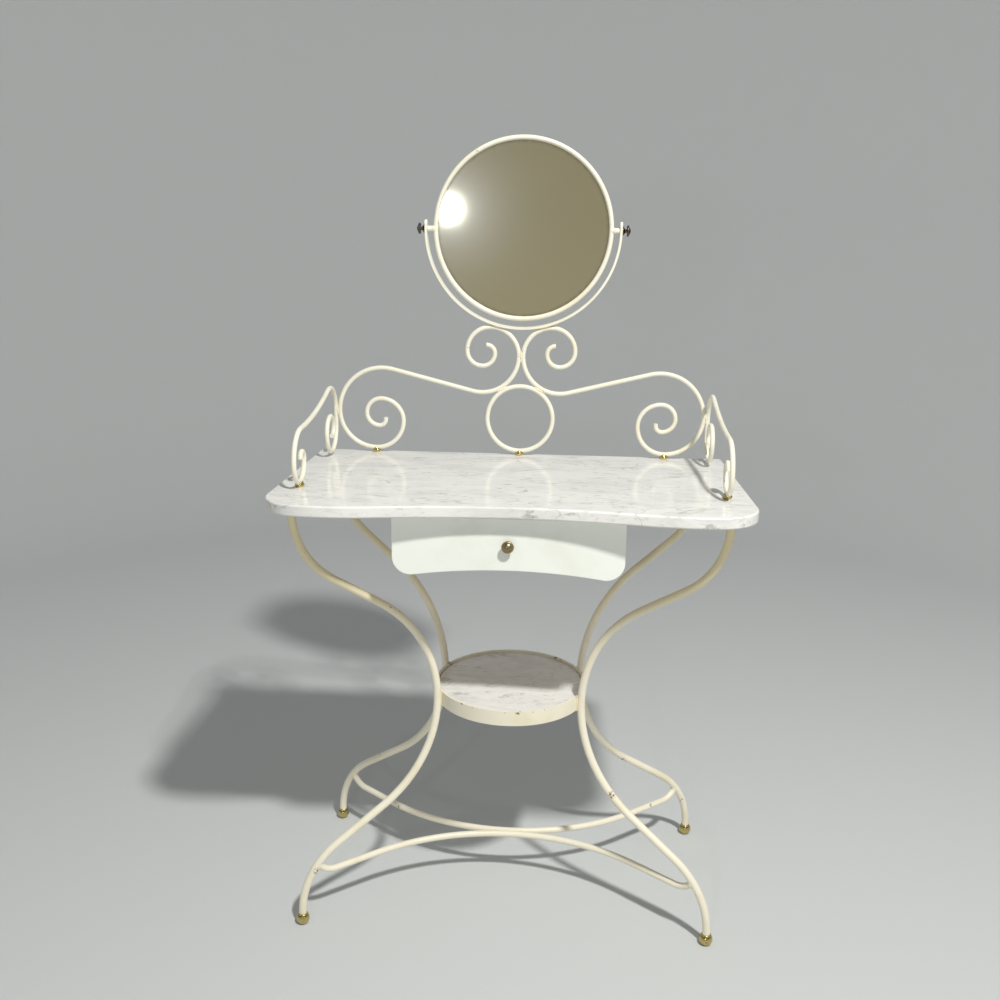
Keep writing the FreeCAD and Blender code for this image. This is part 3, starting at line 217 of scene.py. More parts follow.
@dataclass(frozen=True)
class CreamPaint(Finish):
    """Cream enamel brushed on iron bar: satin, yellowing a little in clouds, and chipped to brown in places;
    it can also carry a painted warm shade towards the top.
    """

    name: str = "cream_enamel_brushed_on_iron"
    color: str = "#EFEBDB"
    # straw colour of the yellowing clouds, used also for the painted warm shade
    yellowing_and_painted_shade: str = "#E0D2A6"
    chip: str = "#6F5940"
    wear: float = 0.0
    rim_z: float = 0.0
    # height from which the painted warm shade grows upwards; zero leaves it out
    painted_shade_z: float = 0.0
    knocks: tuple[tuple[float, float, float, float], ...] = ()  # x, y, z and radius in millimetres
    cloud_size: float = 55 * MM
    painted_shade_fade: float = 240 * MM
    patch_size: float = 48 * MM
    flake_size: float = 4.5 * MM
    rim_depth: float = 3.5 * MM
    rim_edge: float = 0.4 * MM
    gap_size: float = 9 * MM
    gloss_size: float = 9 * MM
    mark_size: float = 4 * MM  # coarser than real brush marks, which are too fine to show

    def tone(self, tree: Tree, space: Socket) -> Socket:
        """Yellows the paint in clouds, and adds a painted warm shade that grows towards the top.

        Args:
            tree: the material's node tree.
            space: Object coordinates.

        Returns:
            The colour of sound paint, painted shade included.
        """
        noise = add_node(tree, "TexNoise", {"Vector": space, "Scale": 1 / self.cloud_size, "Detail": 4.0})
        clouds = add_node(tree, "MapRange", {"Value": noise, "From Min": 0.46 - self.wear,
                                             "From Max": 0.82 - self.wear, "To Max": 0.5}, **SOFT)
        if self.painted_shade_z:  # painted shade: a warm straw tone that grows towards the top of the legs, which the slab shades
            height = add_node(tree, "SeparateXYZ", {"Vector": space}, "Z")
            shade = add_node(tree, "MapRange", {"Value": height, "From Min": self.painted_shade_z,
                                                "From Max": self.painted_shade_z + self.painted_shade_fade,
                                                "To Max": 0.75}, **SOFT)
            # from here the mix factor carries both the yellowing clouds and the painted shade
            clouds = add_node(tree, "Math", {0: clouds, 1: shade}, operation="MAXIMUM")
        return add_node(tree, "Mix", {"Factor": clouds, "A": srgb(self.color), "B": srgb(self.yellowing_and_painted_shade)},
                        data_type="RGBA")

    def chips(self, tree: Tree, space: Socket) -> Socket:
        """Chips the paint in rare patches, at knocks and along a worn rim.

        Args:
            tree: the material's node tree.
            space: Object coordinates.

        Returns:
            One where the paint is gone, and zero where it is sound.
        """
        noise = add_node(tree, "TexNoise", {"Vector": space, "Scale": 1 / self.patch_size, "Detail": 2.0})
        patches = add_node(tree, "MapRange", {"Value": noise, "From Min": 0.63 - self.wear,
                                              "From Max": 0.69 - self.wear}, **SOFT)
        noise = add_node(tree, "TexNoise", {"Vector": space, "Scale": 1 / self.flake_size, "Detail": 4.0,
                                            "Roughness": 0.6})
        specks = add_node(tree, "MapRange", {"Value": noise, "From Min": 0.61, "From Max": 0.65}, **SOFT)
        chips = add_node(tree, "Math", {0: patches, 1: specks}, operation="MULTIPLY")
        flakes = add_node(tree, "MapRange", {"Value": noise, "From Min": 0.49, "From Max": 0.54}, **SOFT)
        for x, y, z, radius in self.knocks:
            place = (x * MM, y * MM, z * MM)
            reach = add_node(tree, "VectorMath", {0: space, 1: place}, operation="DISTANCE")
            near = add_node(tree, "MapRange", {"Value": reach, "From Min": 0.5 * radius * MM,
                                               "From Max": radius * MM, "To Min": 1.0, "To Max": 0.0})
            knocked = add_node(tree, "Math", {0: near, 1: flakes}, operation="MULTIPLY")
            chips = add_node(tree, "Math", {0: chips, 1: knocked}, operation="MAXIMUM")
        if self.rim_z:
            height = add_node(tree, "SeparateXYZ", {"Vector": space}, "Z")
            rim = add_node(tree, "MapRange", {"Value": height, "From Min": self.rim_z - self.rim_depth,
                                              "From Max": self.rim_z - self.rim_edge})
            noise = add_node(tree, "TexNoise", {"Vector": space, "Scale": 1 / self.gap_size, "Detail": 5.0})
            gaps = add_node(tree, "MapRange", {"Value": noise, "From Min": 0.64, "From Max": 0.7}, **SOFT)
            worn = add_node(tree, "Math", {0: rim, 1: gaps}, operation="MULTIPLY")
            chips = add_node(tree, "Math", {0: chips, 1: worn}, operation="MAXIMUM")
        return chips

    def draw(self, tree: Tree, space: Socket) -> dict:
        """Lays the chips over the paint, with an uneven gloss and brush marks.

        Args:
            tree: the material's node tree.
            space: Object coordinates.

        Returns:
            Inputs for the surface shader, by socket name.
        """
        tone = self.tone(tree, space)
        chips = self.chips(tree, space)
        color = add_node(tree, "Mix", {"Factor": chips, "A": tone, "B": srgb(self.chip)}, data_type="RGBA")
        noise = add_node(tree, "TexNoise", {"Vector": space, "Scale": 1 / self.gloss_size, "Detail": 3.0})
        rough = add_node(tree, "MapRange", {"Value": noise, "From Min": 0.3, "From Max": 0.7,
                                            "To Min": 0.34, "To Max": 0.48})
        marks = add_node(tree, "TexNoise", {"Vector": space, "Scale": 1 / self.mark_size, "Detail": 2.0})
        relief = add_node(tree, "Math", {0: chips, 1: -0.8, 2: marks}, operation="MULTIPLY_ADD")
        normal = add_node(tree, "Bump", {"Height": relief, "Distance": 0.25 * MM, "Strength": 0.5})
        return {"Base Color": color, "Roughness": rough, "Normal": normal}


@dataclass(frozen=True)
class Marble(Finish):
    """White marble sawn and polished: milky, with short grey streaks, a fine mottle and broken veins."""

    name: str = "white_marble_polished"
    color: str = "#F0EEEB"
    cloud: str = "#DBDAD8"
    vein: str = "#939391"
    turn: float = -14.0  # degrees, from along the slab
    stretch: Triple = (0.62, 1.5, 1.5)
    cloud_size: float = 60 * MM
    streak_size: float = 13 * MM
    dense_size: float = 150 * MM
    vein_size: float = 95 * MM
    break_size: float = 60 * MM
    gloss_size: float = 25 * MM

    def ground(self, tree: Tree, space: Socket, along: Socket) -> Socket:
        """Draws the milky ground with its clouds and its short streaks, denser in some places.

        Args:
            tree: the material's node tree.
            space: Object coordinates.
            along: the same, drawn out along the slab.

        Returns:
            The colour under the veins.
        """
        noise = add_node(tree, "TexNoise", {"Vector": along, "Scale": 1 / self.cloud_size, "Detail": 8.0,
                                            "Roughness": 0.62, "Distortion": 0.8})
        clouds = add_node(tree, "MapRange", {"Value": noise, "From Min": 0.38, "From Max": 0.72,
                                             "To Max": 0.8}, **SOFT)
        base = add_node(tree, "Mix", {"Factor": clouds, "A": srgb(self.color), "B": srgb(self.cloud)},
                        data_type="RGBA")
        noise = add_node(tree, "TexNoise", {"Vector": along, "Scale": 1 / self.streak_size, "Detail": 5.0,
                                            "Roughness": 0.65, "Distortion": 0.7})
        streaks = add_node(tree, "MapRange", {"Value": noise, "From Min": 0.54, "From Max": 0.72,
                                              "To Max": 0.75}, **SOFT)
        noise = add_node(tree, "TexNoise", {"Vector": space, "Scale": 1 / self.dense_size, "Detail": 3.0})
        dense = add_node(tree, "MapRange", {"Value": noise, "From Min": 0.36, "From Max": 0.62,
                                            "To Min": 0.35}, **SOFT)
        fine = add_node(tree, "Math", {0: streaks, 1: dense}, operation="MULTIPLY")
        return add_node(tree, "Mix", {"Factor": fine, "A": base, "B": srgb(self.vein)}, data_type="RGBA")

    def draw(self, tree: Tree, space: Socket) -> dict:
        """Lays broken veins over the ground, where two tones of noise meet.

        Args:
            tree: the material's node tree.
            space: Object coordinates.

        Returns:
            Inputs for the surface shader, by socket name.
        """
        along = add_node(tree, "Mapping", {"Vector": space, "Scale": self.stretch,
                                           "Rotation": (0.0, 0.0, math.radians(self.turn))})
        base = self.ground(tree, space, along)
        noise = add_node(tree, "TexNoise", {"Vector": along, "Scale": 1 / self.vein_size, "Detail": 6.0,
                                            "Distortion": 1.4})
        level = add_node(tree, "Math", {0: noise, 1: 0.5}, operation="SUBTRACT")
        ridge = add_node(tree, "Math", {0: level}, operation="ABSOLUTE")
        thin = add_node(tree, "MapRange", {"Value": ridge, "From Max": 0.02, "To Min": 0.5,
                                           "To Max": 0.0}, **SOFT)
        noise = add_node(tree, "TexNoise", {"Vector": space, "Scale": 1 / self.break_size, "Detail": 2.0})
        broken = add_node(tree, "MapRange", {"Value": noise, "From Min": 0.42, "From Max": 0.66}, **SOFT)
        veins = add_node(tree, "Math", {0: thin, 1: broken}, operation="MULTIPLY")
        color = add_node(tree, "Mix", {"Factor": veins, "A": base, "B": srgb(self.vein)}, data_type="RGBA")
        noise = add_node(tree, "TexNoise", {"Vector": space, "Scale": 1 / self.gloss_size, "Detail": 3.0})
        rough = add_node(tree, "MapRange", {"Value": noise, "From Min": 0.3, "From Max": 0.7,
                                            "To Min": 0.11, "To Max": 0.17})
        return {"Base Color": color, "Roughness": rough}


@dataclass(frozen=True)
class AgedMetal(Finish):
    """Bare metal turned on a lathe: bright where it is handled, darker and duller where it tarnishes."""

    color: str = "#C9B87F"
    tarnish: str = "#7A6B42"
    roughness: float = 0.2
    spread: float = 0.05
    dulling: float = 0.2
    patch_size: float = 7 * MM
    grain_size: float = 1.2 * MM  # coarser than real lathe marks, which are too fine to show

    def draw(self, tree: Tree, space: Socket) -> dict:
        """Adds tarnish in patches, which are duller, and a fine grain.

        Args:
            tree: the material's node tree.
            space: Object coordinates.

        Returns:
            Inputs for the surface shader, by socket name.
        """
        noise = add_node(tree, "TexNoise", {"Vector": space, "Scale": 1 / self.patch_size, "Detail": 5.0})
        patches = add_node(tree, "MapRange", {"Value": noise, "From Min": 0.62 - self.spread,
                                              "From Max": 0.82 - self.spread}, **SOFT)
        color = add_node(tree, "Mix", {"Factor": patches, "A": srgb(self.color), "B": srgb(self.tarnish)},
                         data_type="RGBA")
        rough = add_node(tree, "MapRange", {"Value": patches, "To Min": self.roughness,
                                            "To Max": self.roughness + self.dulling})
        grain = add_node(tree, "TexNoise", {"Vector": space, "Scale": 1 / self.grain_size, "Detail": 2.0})
        normal = add_node(tree, "Bump", {"Height": grain, "Distance": 0.03 * MM, "Strength": 0.4})
        return {"Base Color": color, "Metallic": 1.0, "Roughness": rough, "Normal": normal}


@dataclass(frozen=True)
class WhitePaint(Finish):
    """White satin paint on a sanded board: even, with faint brush marks along the board."""

    name: str = "white_satin_paint_on_board"
    color: str = "#F6F8F1"
    shade: str = "#ECEDE3"
    stretch: Triple = (0.08, 1.0, 1.0)
    mark_size: float = 5 * MM  # coarser than real brush marks, which are too fine to show
    cloud_size: float = 60 * MM

    def draw(self, tree: Tree, space: Socket) -> dict:
        """Adds long brush marks and faint clouds.

        Args:
            tree: the material's node tree.
            space: Object coordinates.

        Returns:
            Inputs for the surface shader, by socket name.
        """
        along = add_node(tree, "Mapping", {"Vector": space, "Scale": self.stretch})
        marks = add_node(tree, "TexNoise", {"Vector": along, "Scale": 1 / self.mark_size, "Detail": 3.0})
        noise = add_node(tree, "TexNoise", {"Vector": space, "Scale": 1 / self.cloud_size, "Detail": 3.0})
        clouds = add_node(tree, "MapRange", {"Value": noise, "From Min": 0.45, "From Max": 0.8,
                                             "To Max": 0.7}, **SOFT)
        color = add_node(tree, "Mix", {"Factor": clouds, "A": srgb(self.color), "B": srgb(self.shade)},
                         data_type="RGBA")
        rough = add_node(tree, "MapRange", {"Value": marks, "From Min": 0.3, "From Max": 0.7,
                                            "To Min": 0.36, "To Max": 0.46})
        normal = add_node(tree, "Bump", {"Height": marks, "Distance": 0.05 * MM, "Strength": 0.35})
        return {"Base Color": color, "Roughness": rough, "Normal": normal}


@dataclass(frozen=True)
class Beech(Finish):
    """Beech planed and left bare: long pale bands along the grain with short dark flecks."""

    name: str = "beech_planed_bare"
    color: str = "#D5B58A"
    dark: str = "#B98F5F"
    along: Triple = (1.0, 0.06, 1.0)
    flecked: Triple = (1.0, 0.25, 1.0)
    band_size: float = 14 * MM
    fleck_size: float = 2.4 * MM

    def draw(self, tree: Tree, space: Socket) -> dict:
        """Adds grain bands and flecks, both drawn out along the board.

        Args:
            tree: the material's node tree.
            space: Object coordinates.

        Returns:
            Inputs for the surface shader, by socket name.
        """
        drawn = add_node(tree, "Mapping", {"Vector": space, "Scale": self.along})
        noise = add_node(tree, "TexNoise", {"Vector": drawn, "Scale": 1 / self.band_size, "Detail": 4.0,
                                            "Distortion": 0.6})
        bands = add_node(tree, "MapRange", {"Value": noise, "From Min": 0.3, "From Max": 0.7}, **SOFT)
        drawn = add_node(tree, "Mapping", {"Vector": space, "Scale": self.flecked})
        noise = add_node(tree, "TexNoise", {"Vector": drawn, "Scale": 1 / self.fleck_size, "Detail": 2.0})
        flecks = add_node(tree, "MapRange", {"Value": noise, "From Min": 0.62, "From Max": 0.7,
                                             "To Max": 0.6}, **SOFT)
        color = add_node(tree, "Mix", {"Factor": bands, "A": srgb(self.color), "B": srgb(self.dark)},
                         data_type="RGBA")
        color = add_node(tree, "Mix", {"Factor": flecks, "A": color, "B": srgb(self.dark)}, data_type="RGBA")
        rough = add_node(tree, "MapRange", {"Value": bands, "To Min": 0.58, "To Max": 0.66})
        normal = add_node(tree, "Bump", {"Height": bands, "Distance": 0.06 * MM, "Strength": 0.4})
        return {"Base Color": color, "Roughness": rough, "Normal": normal}


@dataclass(frozen=True)
class SilveredGlass(Finish):
    """Old silvered float glass: a straw-tinted mirror, brown at its rim, whose film spreads a glow."""

    name: str = "silvered_glass_float"
    color: str = "#D9D2B4"
    edge: str = "#8F8A76"
    centre: Triple = (0.0, GALLERY_Y, 1139.7 * MM)
    radius: float = 147 * MM
    fade: float = 4 * MM
    wander: float = 6 * MM
    wander_size: float = 9 * MM

    def draw(self, tree: Tree, space: Socket) -> dict:
        """Browns the silver by the distance from the middle, with an uneven edge.

        Args:
            tree: the material's node tree.
            space: Object coordinates.

        Returns:
            Inputs for the surface shader, by socket name.
        """
        reach = add_node(tree, "VectorMath", {0: space, 1: self.centre}, operation="DISTANCE")
        noise = add_node(tree, "TexNoise", {"Vector": space, "Scale": 1 / self.wander_size, "Detail": 4.0})
        uneven = add_node(tree, "Math", {0: noise, 1: self.wander, 2: reach}, operation="MULTIPLY_ADD")
        haze = add_node(tree, "MapRange", {"Value": uneven, "From Min": self.radius - self.fade,
                                           "From Max": self.radius + self.fade, "To Max": 0.7}, **SOFT)
        color = add_node(tree, "Mix", {"Factor": haze, "A": srgb(self.color), "B": srgb(self.edge)},
                         data_type="RGBA")
        return {"Base Color": color, "Metallic": 1.0, "Roughness": 0.033, "Coat Weight": 0.9,
                "Coat Roughness": 0.2}


@dataclass(frozen=True)
class BackgroundPaper(Finish):
    """Matte background paper: pale grey with no gloss, warmer in front, where the mirror shows it."""

    name: str = "paper_matte_pale"
    color: str = "#D0D2D3"
    front: str = "#C7C2B6"
    grey_until: float = -1.8  # along Y
    warm_from: float = -3.4

    def draw(self, tree: Tree, space: Socket) -> dict:
        """Shades the paper from grey to warm towards the front.

        Args:
            tree: the material's node tree.
            space: Object coordinates.

        Returns:
            Inputs for the surface shader, by socket name.
        """
        depth = add_node(tree, "SeparateXYZ", {"Vector": space}, "Y")
        shift = add_node(tree, "MapRange", {"Value": depth, "From Min": self.warm_from,
                                            "From Max": self.grey_until,
                                            "To Min": 1.0, "To Max": 0.0}, **SOFT)
        color = add_node(tree, "Mix", {"Factor": shift, "A": srgb(self.color), "B": srgb(self.front)},
                         data_type="RGBA")
        return {"Base Color": color, "Roughness": 0.95}


FINISHES: dict[Slot, Finish] = {
    Slot.CREAM_PAINT: CreamPaint(),
    Slot.MARBLE: Marble(),
    # turned brass: a soft yellow shine with browner patches
    Slot.BRASS: AgedMetal("brass_turned_aged"),
    # antiqued bronze: brown and half dull, with a broad highlight
    Slot.BRONZE: AgedMetal("bronze_turned_antiqued", "#9C8E6B", "#544A36", roughness=0.36, spread=0.12),
    Slot.WHITE_PAINT: WhitePaint(),
    Slot.DRAWER_WOOD: Beech(),
    # zinc plate: pale grey and half dull
    Slot.PLAIN_STEEL: AgedMetal("steel_zinc_plated", "#B4B4AE", "#85857E", roughness=0.34, spread=0.05),
    Slot.MIRROR_GLASS: SilveredGlass(),
    # enamel on sheet: the same cream, hardly worn
    Slot.MIRROR_BACK: CreamPaint("cream_enamel_on_sheet_steel", wear=-0.1),
}
# enamel over welds: yellower, and chipped more, because it holds badly there
WELD_PAINT = CreamPaint("cream_enamel_over_welds", "#F0E8CF", wear=0.08)
# enamel of the stand: a warmer cream, with painted warm shade under the top, and a few brown knocks
OLD_PAINT = CreamPaint("cream_enamel_warm_with_painted_shade_on_iron", "#F2EBD7", wear=-0.01, painted_shade_z=420 * MM, knocks=(
    (177.3, -71.8, 224.6, 8.0), (206.4, 116.4, 188.3, 7.0), (263.9, 128.5, 90.4, 4.0),
    (-312.3, -138.9, 96.9, 7.0), (-209.4, 85.1, 87.7, 4.0)))
# enamel of the hoop: the same cream, rubbed through along its top
RIM_PAINT = CreamPaint("cream_enamel_worn_at_rim", "#F2EBD7", wear=-0.01, rim_z=HOOP_TOP_Z, knocks=(
    (-113.0, 81.0, 387.0, 10.0), (76.6, 121.5, 387.0, 5.0), (18.2, -107.1, 387.0, 6.0)))
# darkened bronze: nearly black, with a dull shine
DARK_BRONZE = AgedMetal("bronze_turned_darkened", "#6E645A", "#37322E", roughness=0.34, spread=0.15)


@dataclass
class Palette:
    """Builds each finish once."""

    made: dict[str, bpy.types.Material] = field(default_factory=dict)

    def material(self, finish: Finish) -> bpy.types.Material:
        """Gives the material of a finish.

        Args:
            finish: the finish that is wanted.

        Returns:
            Its material, made at the first call.
        """
        if finish.name not in self.made:
            self.made[finish.name] = finish.build()
        return self.made[finish.name]


@dataclass
class WeldRun:
    """The mesh of several welds on one body."""

    mesh: bmesh.types.BMesh = field(default_factory=bmesh.new)
    puddle_pitch: float = 1.5  # from puddle to puddle, in radii of the bead
    puddle_reach: float = 1.25  # half the length of a puddle, in pitches
    taper: float = 0.85  # how much of its section a bead loses at its ends
    puddle_steps: int = 6  # points along each puddle
    bead_sides: int = 14
    ring_sides: int = 12
    ring_steps: int = 48
    merge: float = 0.01 * MM

    def bead(self, centre: Vector, along: Vector, length: float, radius: float) -> None:
        """Lays a straight run of overlapping puddles, thinner towards both ends, as one closed skin.

        Args:
            centre: middle of the run.
            along: direction of the run.
            length: whole length of the run.
            radius: radius at its thickest.
        """
        axis = along.normalized()
        outward = axis.orthogonal().normalized()
        count = max(3, round(length / (self.puddle_pitch * radius)))
        pitch = length / count
        shares = [2 * (number + 0.5) / count - 1 for number in range(count)]
        reach = self.puddle_reach * pitch
        half = (length - pitch) / 2 + reach
        steps = self.puddle_steps * count
        outline: list[bmesh.types.BMVert] = []
        for step in range(steps + 1):
            run = half * (2 * step / steps - 1)
            swell = max(math.sqrt(max(0.0, (1 - self.taper * share * share)
                                      * (1 - ((run - share * length / 2) / reach) ** 2)))
                        for share in shares)
            outline.append(self.mesh.verts.new(centre + axis * run + outward * radius * swell))
        edges = [self.mesh.edges.new(pair) for pair in zip(outline, outline[1:])]
        bmesh.ops.spin(self.mesh, geom=outline + edges, cent=centre, axis=axis, angle=FULL_TURN,
                       steps=self.bead_sides, use_merge=True)

    def valley(self, touch: Vector, line: Vector, length: float, depth: float, radius: float) -> None:
        """Fills the valleys before and behind two bars that touch along a line."""
        for end in End:
            self.bead(touch + BACK * end.value * depth, line, length, radius)

    def ring(self, centre: Vector, axis: Vector, ring_radius: float,
             radius: float) -> list[bmesh.types.BMVert]:
        """Lays a round run about an axis, as one closed tube.

        Args:
            centre: middle of the ring.
            axis: direction of its axis.
            ring_radius: radius of the tube's middle line.
            radius: radius of the tube.

        Returns:
            The vertices of the run.
        """
        turn = axis.to_track_quat("Z", "Y").to_matrix().to_4x4()
        before = set(self.mesh.verts)
        section = (Matrix.Translation(centre) @ turn @ Matrix.Translation((ring_radius, 0, 0))
                   @ Matrix.Rotation(math.pi / 2, 4, "X"))
        circle = bmesh.ops.create_circle(self.mesh, segments=self.ring_sides, radius=radius,
                                         matrix=section)["verts"]
        edges = list({edge for vert in circle for edge in vert.link_edges})
        bmesh.ops.spin(self.mesh, geom=circle + edges, cent=centre, axis=axis, angle=FULL_TURN,
                       steps=self.ring_steps, use_merge=True)
        return [vert for vert in self.mesh.verts if vert not in before]

    def saddle(self, joint: Vector, bar: Vector, bar_radius: float, leg: Vector, leg_radius: float,
               radius: float) -> list[bmesh.types.BMVert]:
        """Lays a run round the end of a bar, where its skin meets the skin of a leg.

        Args:
            joint: where the two middle lines meet.
            bar: direction of the bar, away from the leg.
            bar_radius: radius of the bar.
            leg: direction of the leg.
            leg_radius: radius of the leg.
            radius: radius of the run.

        Returns:
            The vertices of the run.
        """
        flat_bar = bar - leg * bar.dot(leg)
        verts = self.ring(joint, bar, bar_radius, radius)
        for vert in verts:
            offset = vert.co - joint
            skin = (offset - bar * offset.dot(bar)).normalized() * bar_radius
            flat = skin - leg * skin.dot(leg)
            half = flat.dot(flat_bar)
            square = flat_bar.length_squared
            run = (math.sqrt(half * half - square * (flat.length_squared - leg_radius ** 2)) - half) / square
            vert.co += bar * run
        return verts

    def finish(self, name: str, material: bpy.types.Material, body: Body,
               slot: Slot = Slot.CREAM_PAINT) -> None:
        """Makes the piece and fastens it to its body.

        Args:
            name: name of the piece.
            material: its finish.
            body: the body that it rides on.
            slot: a material slot; not used.
        """
        piece = make_piece(name, self.mesh, material, self.merge)
        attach(piece, body.value)
        LOG.info("made %s", name)


@dataclass
class SubAssembly:
    """A group of CAD nodes that is dressed, and welded, together."""

    nodes: dict[str, bpy.types.Object]
    slots: dict[str, Slot]
    palette: Palette
    prefixes: tuple[str, ...] = ()

    def finish_of(self, node: str) -> Finish:
        """Chooses the finish of a node."""
        return FINISHES[self.slots[node]]

    def dress(self) -> None:
        """Gives each node of the group its finish."""
        for name, node in self.nodes.items():
            if name.startswith(self.prefixes):
                node.data.materials.clear()
                node.data.materials.append(self.palette.material(self.finish_of(name)))
                LOG.info("dressed %s as %s", name, self.slots[name].value)

    def build(self) -> None:
        """Makes the pieces that the CAD model leaves out, where the group has any."""


@dataclass
class MarbleTop(SubAssembly):
    """The marble slab."""

    prefixes: tuple[str, ...] = ("marble_top",)


@dataclass
class Drawer(SubAssembly):
    """The drawer with its knob, and the runners that carry it."""

    prefixes: tuple[str, ...] = ("drawer_",)
    across: Beech = Beech("beech_planed_across", along=(0.06, 1.0, 1.0), flecked=(0.25, 1.0, 1.0))

    def finish_of(self, node: str) -> Finish:
        """Turns the grain of the back board along its length."""
        return self.across if node == "drawer_back" else super().finish_of(node)


@dataclass
class Stand(SubAssembly):
    """Legs, feet, stretchers and the frame under the marble, with their welds."""

    prefixes: tuple[str, ...] = ("leg_", "foot_", "stretcher_", "frame_bar_")
    axis_y: float = LEG_AXIS_Y
    leg_angle: float = LEG_ANGLE
    leg_radius: float = 6.5 * MM
    leg_top: Triple = (331.6 * MM, 161.6 * MM, 725 * MM)
    top_bead: float = 1.2 * MM
    joint_reach: float = 346.92 * MM
    joint_z: float = 106 * MM
    joint_tilt: float = math.radians(37.17)
    joint_bead: float = 1.5 * MM
    stretcher_radius: float = 5.5 * MM
    stretcher_lean: float = math.radians(38.34)
    stretcher_climb: float = math.radians(58.33)
    stretcher_z: float = 87 * MM
    middle_rise: float = 3.6 * MM
    middle_length: float = 46 * MM
    middle_bead: float = 1.8 * MM
    welds: WeldRun = field(default_factory=WeldRun)

    def finish_of(self, node: str) -> Finish:
        """Gives the stand a warmer cream, with painted warm shade under the top."""
        return OLD_PAINT if self.slots[node] is Slot.CREAM_PAINT else super().finish_of(node)

    def corner(self, side: Side, end: End) -> None:
        """Welds one leg to the frame and to its stretcher.

        Args:
            side: left or right.
            end: front or rear.
        """
        outward = toward(side, end, self.leg_angle)
        joint = Vector((0, self.axis_y, self.joint_z)) + outward * self.joint_reach
        leg = UP * math.cos(self.joint_tilt) - outward * math.sin(self.joint_tilt)
        plan = toward(side, end, self.stretcher_lean)
        climb = plan * math.cos(self.stretcher_climb) + UP * math.sin(self.stretcher_climb)
        self.welds.saddle(joint, -climb, self.stretcher_radius, leg, self.leg_radius, self.joint_bead)
        x, y, z = self.leg_top
        top = Vector((side.value * x, self.axis_y + end.value * y, z))
        self.welds.ring(top, UP, self.leg_radius, self.top_bead)

    def build(self) -> None:
        """Makes the welds of the stand."""
        for side in Side:
            for end in End:
                self.corner(side, end)
        middle = Vector((0, self.axis_y, self.stretcher_z))
        for level in Level:
            place = middle + UP * level.value * self.middle_rise
            self.welds.bead(place, ACROSS, self.middle_length, self.middle_bead)
        self.welds.finish("stand_welds", self.palette.material(WELD_PAINT), Body.TABLE)


@dataclass
class Shelf(SubAssembly):
    """The round shelf between the legs: hoop, cross and marble disc, with the welds to the legs."""

    prefixes: tuple[str, ...] = ("shelf_",)
    axis_y: float = LEG_AXIS_Y
    leg_angle: float = LEG_ANGLE
    radius: float = 128.5 * MM
    low: float = 362 * MM
    high: float = HOOP_TOP_Z
    bead_out: float = 0.6 * MM
    bead_aside: float = 4.6 * MM
    bead: float = 1.7 * MM
    welds: WeldRun = field(default_factory=WeldRun)

    def finish_of(self, node: str) -> Finish:
        """Wears the paint along the top of the hoop, and yellows the cross."""
        return {"shelf_ring": RIM_PAINT, "shelf_cross": OLD_PAINT}.get(node) or super().finish_of(node)

    def build(self) -> None:
        """Makes the welds between the hoop and the legs."""
        middle = Vector((0, self.axis_y, (self.low + self.high) / 2))
        for side in Side:
            for end in End:
                outward = toward(side, end, self.leg_angle)
                touch = middle + outward * (self.radius + self.bead_out)
                for flank in Side:
                    aside = UP.cross(outward) * flank.value * self.bead_aside
                    self.welds.bead(touch + aside, UP, self.high - self.low, self.bead)
        self.welds.finish("shelf_welds", self.palette.material(WELD_PAINT), Body.TABLE)


@dataclass
class Gallery(SubAssembly):
    """The scrolled gallery round the back and sides, with its welds and the lips of its spacers."""

    prefixes: tuple[str, ...] = ("gallery_",)
    back_y: float = GALLERY_Y
    ring_touch: Pair = (32.58 * MM, 865.7 * MM)
    ring_line: Pair = (0.8502, -0.5265)
    ring_length: float = 15 * MM
    scroll_touch_z: float = 924.2 * MM
    scroll_length: float = 18 * MM
    side_touch: Pair = (327.8 * MM, 821 * MM)
    side_length: float = 14 * MM
    bead_depth: float = 2.4 * MM
    bead: float = 2.0 * MM
    rod_radius: float = 4 * MM
    foot_z: float = 755 * MM
    back_feet: tuple[float, ...] = (-258 * MM, 0.0, 258 * MM)
    side_foot: Pair = (331.6 * MM, -85 * MM)
    lip_radius: float = 3.8 * MM
    lip_bead: float = 2.1 * MM
    lip_stretch: float = 0.35
    welds: WeldRun = field(default_factory=WeldRun)

    def build(self) -> None:
        """Makes the welds of the gallery, and the lips of its spacers."""
        for side in Side:
            ring = on_side(side, self.ring_touch, self.back_y)
            line = on_side(side, self.ring_line, 0)
            self.welds.valley(ring, line, self.ring_length, self.bead_depth, self.bead)
            edge = on_side(side, self.side_touch, self.back_y)
            self.welds.valley(edge, UP, self.side_length, self.bead_depth, self.bead)
        scroll = Vector((0, self.back_y, self.scroll_touch_z))
        self.welds.valley(scroll, UP, self.scroll_length, self.bead_depth, self.bead)
        self.welds.finish("gallery_welds", self.palette.material(WELD_PAINT), Body.TABLE)
        self.lips()

    def lips(self) -> None:
        """Makes the brass lips with which each spacer holds its rod."""
        feet = [(Vector((x, self.back_y, self.foot_z)), ACROSS) for x in self.back_feet]
        side_x, side_y = self.side_foot
        feet += [(Vector((side.value * side_x, side_y, self.foot_z)), BACK) for side in Side]
        lips = WeldRun()
        for foot, rod in feet:
            verts = lips.saddle(foot, -UP, self.lip_radius, rod, self.rod_radius, self.lip_bead)
            bmesh.ops.scale(lips.mesh, verts=verts, vec=Vector((1, 1, 1)) + rod * self.lip_stretch,
                            space=Matrix.Translation(-foot))
        lips.finish("spacer_lips", self.palette.material(FINISHES[Slot.BRASS]), Body.TABLE, Slot.BRASS)


